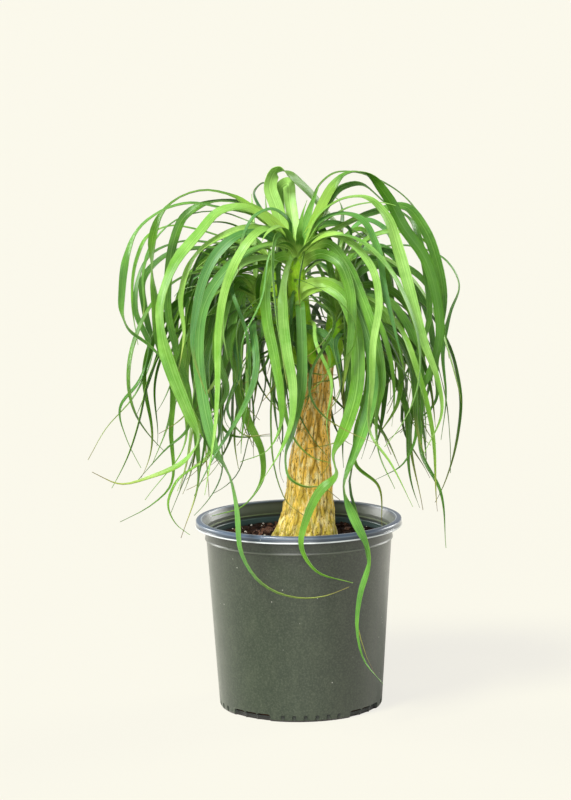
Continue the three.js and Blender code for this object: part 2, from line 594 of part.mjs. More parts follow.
// Smooth curve through points, sampled evenly along its chords.
function smoothCurve(points, count) {
  const run = runningLength(points);
  const last = points.length - 1;
  const slopes = points.map((point, i) => {
    const before = i > 0 ? point.clone().sub(points[i - 1]).divideScalar(run[i] - run[i - 1]) : null;
    const after = i < last ? points[i + 1].clone().sub(point).divideScalar(run[i + 1] - run[i]) : null;
    if (!before || !after) {
      return before || after;
    }
    const share = (run[i] - run[i - 1]) / (run[i + 1] - run[i - 1]);
    return before.multiplyScalar(1 - share).addScaledVector(after, share);
  });
  const curve = [];
  let i = 0;
  for (let k = 0; k <= count; k += 1) {
    const place = run[last] * k / count;
    while (i + 1 < last && run[i + 1] < place) {
      i += 1;
    }
    const span = run[i + 1] - run[i];
    const t = (place - run[i]) / span;
    curve.push(points[i].clone().multiplyScalar(1 - ease(t))
      .addScaledVector(points[i + 1], ease(t))
      .addScaledVector(slopes[i], span * t * (1 - t) * (1 - t))
      .addScaledVector(slopes[i + 1], span * t * t * (t - 1)));
  }
  return curve;
}

function directions(points) {
  const last = points.length - 1;
  return points.map((_, i) => {
    const ahead = points[Math.min(i + 1, last)];
    const behind = points[Math.max(i - 1, 0)];
    return ahead.clone().sub(behind).normalize();
  });
}

// Turns a side direction about the leaf's own direction.
function turned(side, along, degrees) {
  return side.clone().applyAxisAngle(along, THREE.MathUtils.degToRad(degrees));
}

// Drawn leaf: from inside the stem, a little below where it shows, and along its arch.
function drawnBlade(shoot, leaf, swing) {
  const flat = leaf.path.map(([across, down]) => new THREE.Vector3(across, down, 0));
  const run = runningLength(flat);
  const total = run[run.length - 1];
  const lifted = leaf.path.map((point, i) => {
    const t = run[i] / total;
    const toward = threeWay(leaf.toward, t) + swing * ease(Math.min(t / LEAF.swingShare, 1));
    return viewPoint(point, toward);
  });
  const stem = stemCurve(shoot);
  let nearest = 0;
  for (let k = 1; k <= 20; k += 1) {
    if (stem.getPoint(k / 20).distanceTo(lifted[0]) < stem.getPoint(nearest).distanceTo(lifted[0])) {
      nearest = k / 20;
    }
  }
  const root = stem.getPoint(Math.max(nearest - 0.1, 0.12));
  const points = smoothCurve([root, ...lifted], LEAF.samples);
  const along = directions(points);
  const sides = points.map((point, i) => {
    const sight = point.clone().sub(VIEW.eye);
    const side = along[i].clone().cross(sight).normalize();
    return turned(side, along[i], evenly(leaf.turn, i / LEAF.samples));
  });
  return { points, sides, wide: leaf.wide };
}

// Grown leaf: it leaves the stem at an angle, is pulled over by its own weight and waves to and
// fro, and its limp tip sways to one side.
function grownBlade(shoot, growth) {
  const stem = stemCurve(shoot);
  const forward = stem.getTangent(growth.place);
  const outward = new THREE.Vector3(Math.cos(growth.azimuth), Math.sin(growth.azimuth), 0);
  const heading = outward.clone().multiplyScalar(Math.cos(growth.rise))
    .addScaledVector(forward, Math.sin(growth.rise)).normalize();
  const step = growth.length / LEAF.samples;
  const upright = new THREE.Vector3(0, 0, 1);
  const swayWay = outward.clone().applyAxisAngle(upright, growth.swayAngle);
  const sideways = upright.clone().cross(outward);
  const points = [stem.getPoint(growth.place)];
  for (let i = 0; i < LEAF.samples; i += 1) {
    const limp = ease(Math.max(2 * i / LEAF.samples - 1, 0));
    points.push(points[i].clone().addScaledVector(heading, step));
    heading.z -= growth.bend * step;
    heading.addScaledVector(swayWay, growth.sway * step * limp);
    const phase = growth.wavePhase + 2 * Math.PI * i * step / growth.waveLength;
    heading.addScaledVector(sideways, growth.wave * step * Math.sin(phase)).normalize();
    heading.applyAxisAngle(upright, growth.curl * step);
  }
  const along = directions(points);
  let side = sideways;
  const sides = points.map((_, i) => {
    side = side.clone().addScaledVector(along[i], -side.dot(along[i])).normalize();
    return turned(side, along[i], growth.twist * i / LEAF.samples);
  });
  return { points, sides, wide: growth.wide, grown: true };
}

// ---------------------------------------------------------------- leaf solids

function bladeShare(t) {
  const belly = 0.75 + 0.25 * Math.sin(Math.PI * Math.min(t / 0.9, 1));
  return belly * (1 - t ** 4) ** 1.3;
}

// Few stations, closer together where the blade bends or twists.
function stations(blade) {
  const along = directions(blade.points);
  const run = runningLength(blade.points);
  const total = run[run.length - 1];
  const turning = [0];
  for (let i = 1; i < along.length; i += 1) {
    const bend = along[i].angleTo(along[i - 1]);
    const twist = blade.sides[i].angleTo(blade.sides[i - 1]);
    turning.push(turning[i - 1] + Math.max(bend, twist));
  }
  const allTurning = turning[turning.length - 1];
  const count = LEAF.leastStations + Math.round(allTurning / LEAF.turnPerStation);
  const measure = run.map((length, i) => length / total + turning[i] / allTurning);
  const chosen = [];
  let i = 0;
  for (let k = 0; k <= count; k += 1) {
    const place = 2 * k / count;
    while (i + 2 < measure.length && measure[i + 1] < place) {
      i += 1;
    }
    const share = Math.min((place - measure[i]) / (measure[i + 1] - measure[i]), 1);
    const t = THREE.MathUtils.lerp(run[i], run[i + 1], share) / total;
    const point = blade.points[i].clone().lerp(blade.points[i + 1], share);
    const direction = along[i].clone().lerp(along[i + 1], share).normalize();
    const side = blade.sides[i].clone().lerp(blade.sides[i + 1], share);
    side.addScaledVector(direction, -side.dot(direction)).normalize();
    const half = 0.5 * blade.wide * bladeShare(t);
    chosen.push({ t, point, side, face: direction.clone().cross(side), half });
  }
  return chosen;
}

// Section of a blade: left edge, channel, right edge, keel.
function section({ t, point, side, face, half }) {
  const thick = THREE.MathUtils.lerp(LEAF.baseThickness, LEAF.tipThickness, t) / 2;
  const lift = LEAF.channel * half;
  return [
    point.clone().addScaledVector(side, -half).addScaledVector(face, lift),
    point.clone().addScaledVector(face, thick),
    point.clone().addScaledVector(side, half).addScaledVector(face, lift),
    point.clone().addScaledVector(face, -thick),
  ];
}

// The skin is split the same way on its upper and its lower face, so they never cross.
function bladeSolid(row) {
  const points = [];
  for (const station of row.slice(0, -1)) {
    points.push(...section(station));
  }
  const tip = points.push(row[row.length - 1].point) - 1;
  const faces = [0, 1, 3, 1, 2, 3];
  const sections = row.length - 1;
  for (let i = 0; i + 1 < sections; i += 1) {
    const [left, channel, right, keel] = [0, 1, 2, 3].map((corner) => 4 * i + corner);
    faces.push(left, channel + 4, channel, left, left + 4, channel + 4);
    faces.push(left, keel, keel + 4, left, keel + 4, left + 4);
    faces.push(right, channel, channel + 4, right, channel + 4, right + 4);
    faces.push(right, keel + 4, keel, right, right + 4, keel + 4);
  }
  const end = 4 * (sections - 1);
  for (let corner = 0; corner < 4; corner += 1) {
    faces.push(end + corner, tip, end + (corner + 1) % 4);
  }
  return solidFrom(indexedGeometry(points, faces));
}

// ---------------------------------------------------------------- keeping leaves apart

// A box round one stretch: centre, three axes and the half size along each.
function boxRound(corners, along, side) {
  const centre = corners.reduce((sum, p) => sum.add(p), new THREE.Vector3()).divideScalar(corners.length);
  const across = side.clone().addScaledVector(along, -side.dot(along)).normalize();
  const axes = [along, across, along.clone().cross(across)];
  const halves = axes.map((axis) => Math.max(
    ...corners.map((corner) => Math.abs(corner.clone().sub(centre).dot(axis)))));
  return { centre, axes, halves, reach: Math.hypot(...halves) };
}

function bladeBoxes(row) {
  const boxes = [];
  for (let i = 0; i + 1 < row.length; i += 1) {
    const corners = [...section(row[i]), ...section(row[i + 1])];
    const along = row[i + 1].point.clone().sub(row[i].point).normalize();
    const side = row[i].side.clone().add(row[i + 1].side);
    boxes.push({ ...boxRound(corners, along, side), t: row[i].t });
  }
  return boxes;
}

function columnBoxes(centres, radii) {
  const boxes = [];
  for (let i = 0; i + 1 < centres.length; i += 1) {
    const along = centres[i + 1].clone().sub(centres[i]).normalize();
    const across = new THREE.Vector3(0, 1, 0).cross(along).normalize();
    const over = along.clone().cross(across);
    const corners = [];
    for (const end of [i, i + 1]) {
      for (const [u, v] of [[-1, -1], [-1, 1], [1, -1], [1, 1]]) {
        corners.push(centres[end].clone()
          .addScaledVector(across, u * radii[end])
          .addScaledVector(over, v * radii[end]));
      }
    }
    boxes.push({ ...boxRound(corners, along, across), t: 0 });
  }
  return boxes;
}

// Two boxes are apart if some direction separates them.
function boxesApart(a, b) {
  const between = b.centre.clone().sub(a.centre);
  if (between.length() > a.reach + b.reach + LEAF.clearance) {
    return true;
  }
  const tests = [...a.axes, ...b.axes];
  for (const first of a.axes) {
    for (const second of b.axes) {
      const axis = first.clone().cross(second);
      if (axis.length() > 1e-3) {
        tests.push(axis.normalize());
      }
    }
  }
  return tests.some((axis) => {
    let extent = LEAF.clearance;
    for (const box of [a, b]) {
      for (let k = 0; k < 3; k += 1) {
        extent += box.halves[k] * Math.abs(box.axes[k].dot(axis));
      }
    }
    return Math.abs(between.dot(axis)) > extent;
  });
}

// Clear of the pot: outside its lip, above it, or inside its mouth above the soil.
function clearOfPot(row) {
  return row.slice(1).every(({ point, half }) => {
    const radius = Math.hypot(point.x, point.y);
    const outside = radius > POT.lipRadius + 3;
    const above = point.z > POT.height + 3 + 0.3 * half;
    const inMouth = radius < POT.bandRadius - 6 && point.z > SOIL.level + 10;
    return outside || above || inMouth;
  });
}

function withinFoliage(row) {
  return row.every(({ point }) => point.z > GROWTH.lowestPoint && point.z < GROWTH.highestPoint
    && Math.hypot(point.x - GROWTH.middleX, point.y) < GROWTH.reach);
}

function makePlacer() {
  const others = [];
  const stemSteps = 6;
  for (const [name, shoot] of Object.entries(SHOOTS)) {
    const curve = stemCurve(shoot);
    const places = Array.from({ length: stemSteps + 1 }, (_, i) => i / stemSteps);
    const radii = places.map((t) => stemRadius(shoot, t));
    const boxes = columnBoxes(places.map((t) => curve.getPoint(t)), radii);
    boxes.forEach((box) => others.push({ ...box, shoot: name, stem: true }));
  }
  const trunkCentres = TRUNK_SECTIONS.map(([z, x, y]) => new THREE.Vector3(x, y, z));
  const trunkRadii = TRUNK_SECTIONS.map((row) => row[3]);
  columnBoxes(trunkCentres, trunkRadii).forEach((box) => others.push({ ...box, shoot: 'trunk' }));

  function crossings(name, boxes) {
    let foreign = false;
    let own = false;
    for (const box of boxes) {
      for (const other of others) {
        const sameShoot = other.shoot === name;
        const rooted = box.t < LEAF.rootShare || other.t < LEAF.rootShare;
        if (sameShoot && (other.stem || rooted)) {
          continue;
        }
        if ((sameShoot ? own : foreign) || boxesApart(box, other)) {
          continue;
        }
        if (sameShoot) {
          own = true;
        } else {
          foreign = true;
        }
      }
    }
    return { foreign, own };
  }

  // Takes the first blade that hangs clear of everything, or else the first that is clear of
  // the other shoots, the trunk and the pot.
  return function place(name, blades) {
    let fallback = null;
    let chosen = null;
    for (const blade of blades) {
      const row = stations(blade);
      if (!clearOfPot(row) || (blade.grown && !withinFoliage(row))) {
        continue;
      }
      const boxes = bladeBoxes(row);
      const { foreign, own } = crossings(name, boxes);
      if (!foreign && !own) {
        chosen = { row, boxes };
        break;
      }
      if (!foreign && !fallback) {
        fallback = { row, boxes };
      }
    }
    chosen = chosen || fallback;
    if (!chosen) {
      return null;
    }
    chosen.boxes.forEach((box) => others.push({ ...box, shoot: name }));
    return chosen.row;
  };
}

// ---------------------------------------------------------------- heads

function makeDraw(seed) {
  let state = seed;
  return (low, high) => {
    state = (state * 16807) % 2147483647;
    return low + (high - low) * state / 2147483647;
  };
}

function* swungBlades(shoot, leaf) {
  for (const swing of SWINGS) {
    yield drawnBlade(shoot, leaf, swing);
  }
}

function* drawnAgain(shoot, plan, index, draw) {
  const turn = ((index * GROWTH.goldenAngle) % 360) / 180 - 1;
  const age = (index + 0.5) / plan.count;
  for (let attempt = 0; attempt < GROWTH.tries; attempt += 1) {
    const azimuth = plan.facing + plan.spread * turn + draw(-22, 22);
    const place = THREE.MathUtils.lerp(plan.lowest, 0.96, age) + draw(-0.05, 0.02);
    const rise = THREE.MathUtils.lerp(GROWTH.lowRise, GROWTH.highRise, age) + draw(-14, 8);
    yield grownBlade(shoot, {
      azimuth: THREE.MathUtils.degToRad(azimuth),
      place,
      rise: THREE.MathUtils.degToRad(rise),
      bend: draw(...GROWTH.bend),
      length: draw(...GROWTH.length),
      wide: draw(...GROWTH.width),
      curl: draw(...GROWTH.curl),
      sway: draw(...GROWTH.sway),
      swayAngle: THREE.MathUtils.degToRad(draw(...GROWTH.swayAngle)),
      wave: draw(...GROWTH.wave),
      waveLength: draw(...GROWTH.waveLength),
      wavePhase: THREE.MathUtils.degToRad(draw(...GROWTH.wavePhase)),
      twist: draw(...GROWTH.twist),
    });
  }
}

function makeHeads() {
  const place = makePlacer();
  const draw = makeDraw(GROWTH.seed);
  const rows = {};
  for (const [name, leaves] of Object.entries(DRAWN_LEAVES)) {
    rows[name] = leaves.map((leaf) => place(name, swungBlades(SHOOTS[name], leaf)));
  }
  for (const [name, plan] of Object.entries(GROWN_LEAVES)) {
    for (let index = 0; index < plan.count; index += 1) {
      rows[name].push(place(name, drawnAgain(SHOOTS[name], plan, index, draw)));
    }
  }
  const heads = {};
  for (const [name, shoot] of Object.entries(SHOOTS)) {
    const blades = rows[name].filter(Boolean).map(bladeSolid);
    const fused = wasm.Manifold.union([makeStem(shoot, 0), ...blades]);
    heads[name] = mainBody(fused.simplify(LEAF.finest));
  }
  return heads;
}

// ---------------------------------------------------------------- the plant

const plant = new THREE.Group();

function addPiece(name, solid, finish) {
  const mesh = new THREE.Mesh(geometryFrom(solid), new THREE.MeshStandardMaterial(finish));
  mesh.name = name;
  plant.add(mesh);
}

addPiece('pot', makePot(), COLOURS.pot);
addPiece('soil', makeSoil(), COLOURS.soil);
addPiece('trunk', makeTrunk(), COLOURS.trunk);
for (const [name, head] of Object.entries(makeHeads())) {
  addPiece(name, head, COLOURS.leaf);
}

export default plant;
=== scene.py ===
# A ponytail palm in a nursery pot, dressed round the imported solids: a fine pot with its drain
# openings, soil with perlite and bark chips, a corky trunk, and shoots of veined strap leaves.
# Shape constants are in millimetres, as in the solids, and become metres in the meshes.

import math
import random

import bpy
import numpy as np
from mathutils import Euler, Matrix, Vector, noise


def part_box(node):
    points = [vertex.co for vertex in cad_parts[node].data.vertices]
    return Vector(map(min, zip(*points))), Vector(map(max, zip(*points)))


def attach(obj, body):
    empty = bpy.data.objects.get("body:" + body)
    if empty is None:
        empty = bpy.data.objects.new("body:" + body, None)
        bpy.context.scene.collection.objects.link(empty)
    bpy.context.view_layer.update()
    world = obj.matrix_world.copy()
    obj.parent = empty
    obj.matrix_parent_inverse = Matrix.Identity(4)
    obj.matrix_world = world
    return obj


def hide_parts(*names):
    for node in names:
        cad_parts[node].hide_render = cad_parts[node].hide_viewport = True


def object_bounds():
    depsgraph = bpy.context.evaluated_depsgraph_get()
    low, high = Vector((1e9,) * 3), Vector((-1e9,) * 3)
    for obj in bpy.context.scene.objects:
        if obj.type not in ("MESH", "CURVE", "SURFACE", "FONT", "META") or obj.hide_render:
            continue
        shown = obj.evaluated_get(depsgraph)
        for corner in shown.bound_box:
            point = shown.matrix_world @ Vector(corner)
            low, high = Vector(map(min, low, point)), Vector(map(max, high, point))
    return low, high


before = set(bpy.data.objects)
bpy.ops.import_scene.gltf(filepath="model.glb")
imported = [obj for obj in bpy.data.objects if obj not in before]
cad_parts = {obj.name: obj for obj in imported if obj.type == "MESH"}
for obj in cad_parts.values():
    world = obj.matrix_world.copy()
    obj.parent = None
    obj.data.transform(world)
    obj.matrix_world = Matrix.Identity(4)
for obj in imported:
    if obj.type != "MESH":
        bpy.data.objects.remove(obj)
cad_low, cad_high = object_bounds()

MM = 0.001
FRONT_VIEW = (571, 800)            # the front view's width and height


# ---------------------------------------------------------------- sizes

POT_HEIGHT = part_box("pot")[1].z / MM
LIP_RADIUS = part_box("pot")[1].x / MM
BASE_RADIUS = 100
WALL_TOP_RADIUS = 113.4            # outside, just under the ridge
BAND_RADIUS = 114.6                # outside, between ridge and lip
LIP_DROP = 8.6
LIP_WIDTH = 8.3
RIDGE_Z = POT_HEIGHT - 24
LEDGE_Z = POT_HEIGHT - 15
FLARE = 11                         # height over which the band flares out into the lip
WALL = 2.2
FLOOR = 4
POT_SIDES = 160

DRAIN_GROUPS = 4
FIRST_DRAIN = -128                 # degrees from +X towards +Y
# Pitch is in degrees. Cutter is the thickness of the block that cuts it, from the bottom of
# the cut outwards, and height is how far that block stands above the floor.
SLOTS = dict(count=3, pitch=10.5, width=19.5, height=8.5, depth=4, cutter=13, rounding=3.5)
DIMPLES = dict(count=6, pitch=8, width=6, height=8.5, depth=1.4, cutter=6, rounding=2.7)

SOIL_LEVEL = 205
SOIL_RELIEF = 2.4
SOIL_MOUND = 4
MOUND_REACH = 55
SOIL_SIDES = 128
SOIL_RINGS = 46
# Relief of peat crumbs: size, a shift in the noise, and height.
CRUMB_RELIEF = [(6, 1.3, 1.1), (2.4, 7.1, 0.8), (1.1, 3.7, 0.4)]

# Trunk: height, centre x and y, radius.
TRUNK_SECTIONS = [
    (148, 2, 0, 24), (168, 3, 0, 40), (190, 5, 0, 46), (207, 7, 0, 41.5), (221, 9.5, 0, 36.5),
    (240, 12.5, 0, 32), (268, 14.5, 0, 28), (302, 15.5, 0, 25.5), (338, 19, 0, 21),
    (372, 24, 0, 18.6), (402, 25, 0, 18.2), (424, 28, 0, 17.4), (438, 30, 0, 15.8), (448, 31, 0, 11),
]
FOOT_X, FOOT_RADIUS = TRUNK_SECTIONS[3][1], TRUNK_SECTIONS[3][3]    # where it leaves the soil
TRUNK_TOP_RISE = 5
RIDGE_SHARE = 0.05                 # of the trunk's radius
# Relief of the cork: size across, size upwards, a shift in the noise, and height.
CORK_RELIEF = [(8, 17, 9, 1.1), (2.4, 4.5, 3, 0.5), (1, 2.6, 1, 0.25)]
# Furrows of the cork: size across, size upwards, a shift in the noise, and width.
MAIN_FURROWS = (7, 52, 0, 0.17)
SIDE_FURROWS = (3.4, 24, 7, 0.15)
FURROW_DEPTH = 1.2

STEM_ROOT_RADIUS = 5.6
STEM_CROWN_SHARE = 0.72            # radius at the crown, as a share of the thickest
STEM_STEPS = 20                    # steps along a stem when a leaf looks for its root
ROOT_DROP = 0.1                    # share of the stem that a leaf is rooted below its foot
LOWEST_ROOT = 0.12
SHEATHS = 20
SHEATH_PLACES = (0.14, 0.7)        # the lowest one's place up the stem, and the room for all
SHEATH_LENGTH = (0.15, 0.24)       # shares of the stem
SHEATH_SPREAD = 80                 # degrees to each side, at the foot
SHOOTS = {
    "head_front": dict(socket=(22, -9, 424), bend=(-3, -30, 480), crown=(1, -40, 574), thick=12),
    "head_left": dict(socket=(15, 3, 417), bend=(-22, 2, 440), crown=(-53, -10, 514), thick=9.5),
    "head_back_left": dict(socket=(24, 10, 428), bend=(-6, 44, 452), crown=(-34, 62, 542), thick=10),
    "head_back_right": dict(socket=(37, 8, 428), bend=(50, 36, 452), crown=(53, 54, 526), thick=10),
    "head_right": dict(socket=(38, -7, 421), bend=(54, -16, 438), crown=(47, -20, 486), thick=8.5),
}

LEAF_SAMPLES = 48                  # steps along a leaf's arch
ROOT_SHARE = 0.16                  # share of a leaf where it may merge with its own shoot
SWING_SHARE = 0.2                  # share of a leaf over which a swing sets in
BASE_THICKNESS = 1.6
TIP_THICKNESS = 0.8
FINE_THICKNESS = 0.7               # of this model's own leaves
LEAF_FACES = {"broad": (4, 56), "thin": (2, 30)}    # across and along
CHANNEL = 0.16                     # how far the edges rise, as a share of the half width
TURN_PER_STATION = 1.25            # radians, in a leaf of the solids
LEAST_STATIONS = 4
CLEARANCE = 0.8                    # between the boxes round two stretches
PARALLEL = 1e-3                    # crossed directions shorter than this are parallel
POT_GAP = 3                        # beside and above the lip
MOUTH_GAP = 6                      # to the wall, inside the pot's mouth
SOIL_GAP = 10
FOOT_REACH = 16                    # over which a leaf's foot widens and clasps its stem
RIPPLE_LENGTH = 11

EYE = np.array([-14.2, -3500, 900.4])
AIM = np.array([-14.2, 0, 377.5])
FOCAL = 2906.3                     # in units of the front view
VIEW_CENTRE = (FRONT_VIEW[0] / 2, FRONT_VIEW[1] / 2)
ROLL = -0.0135

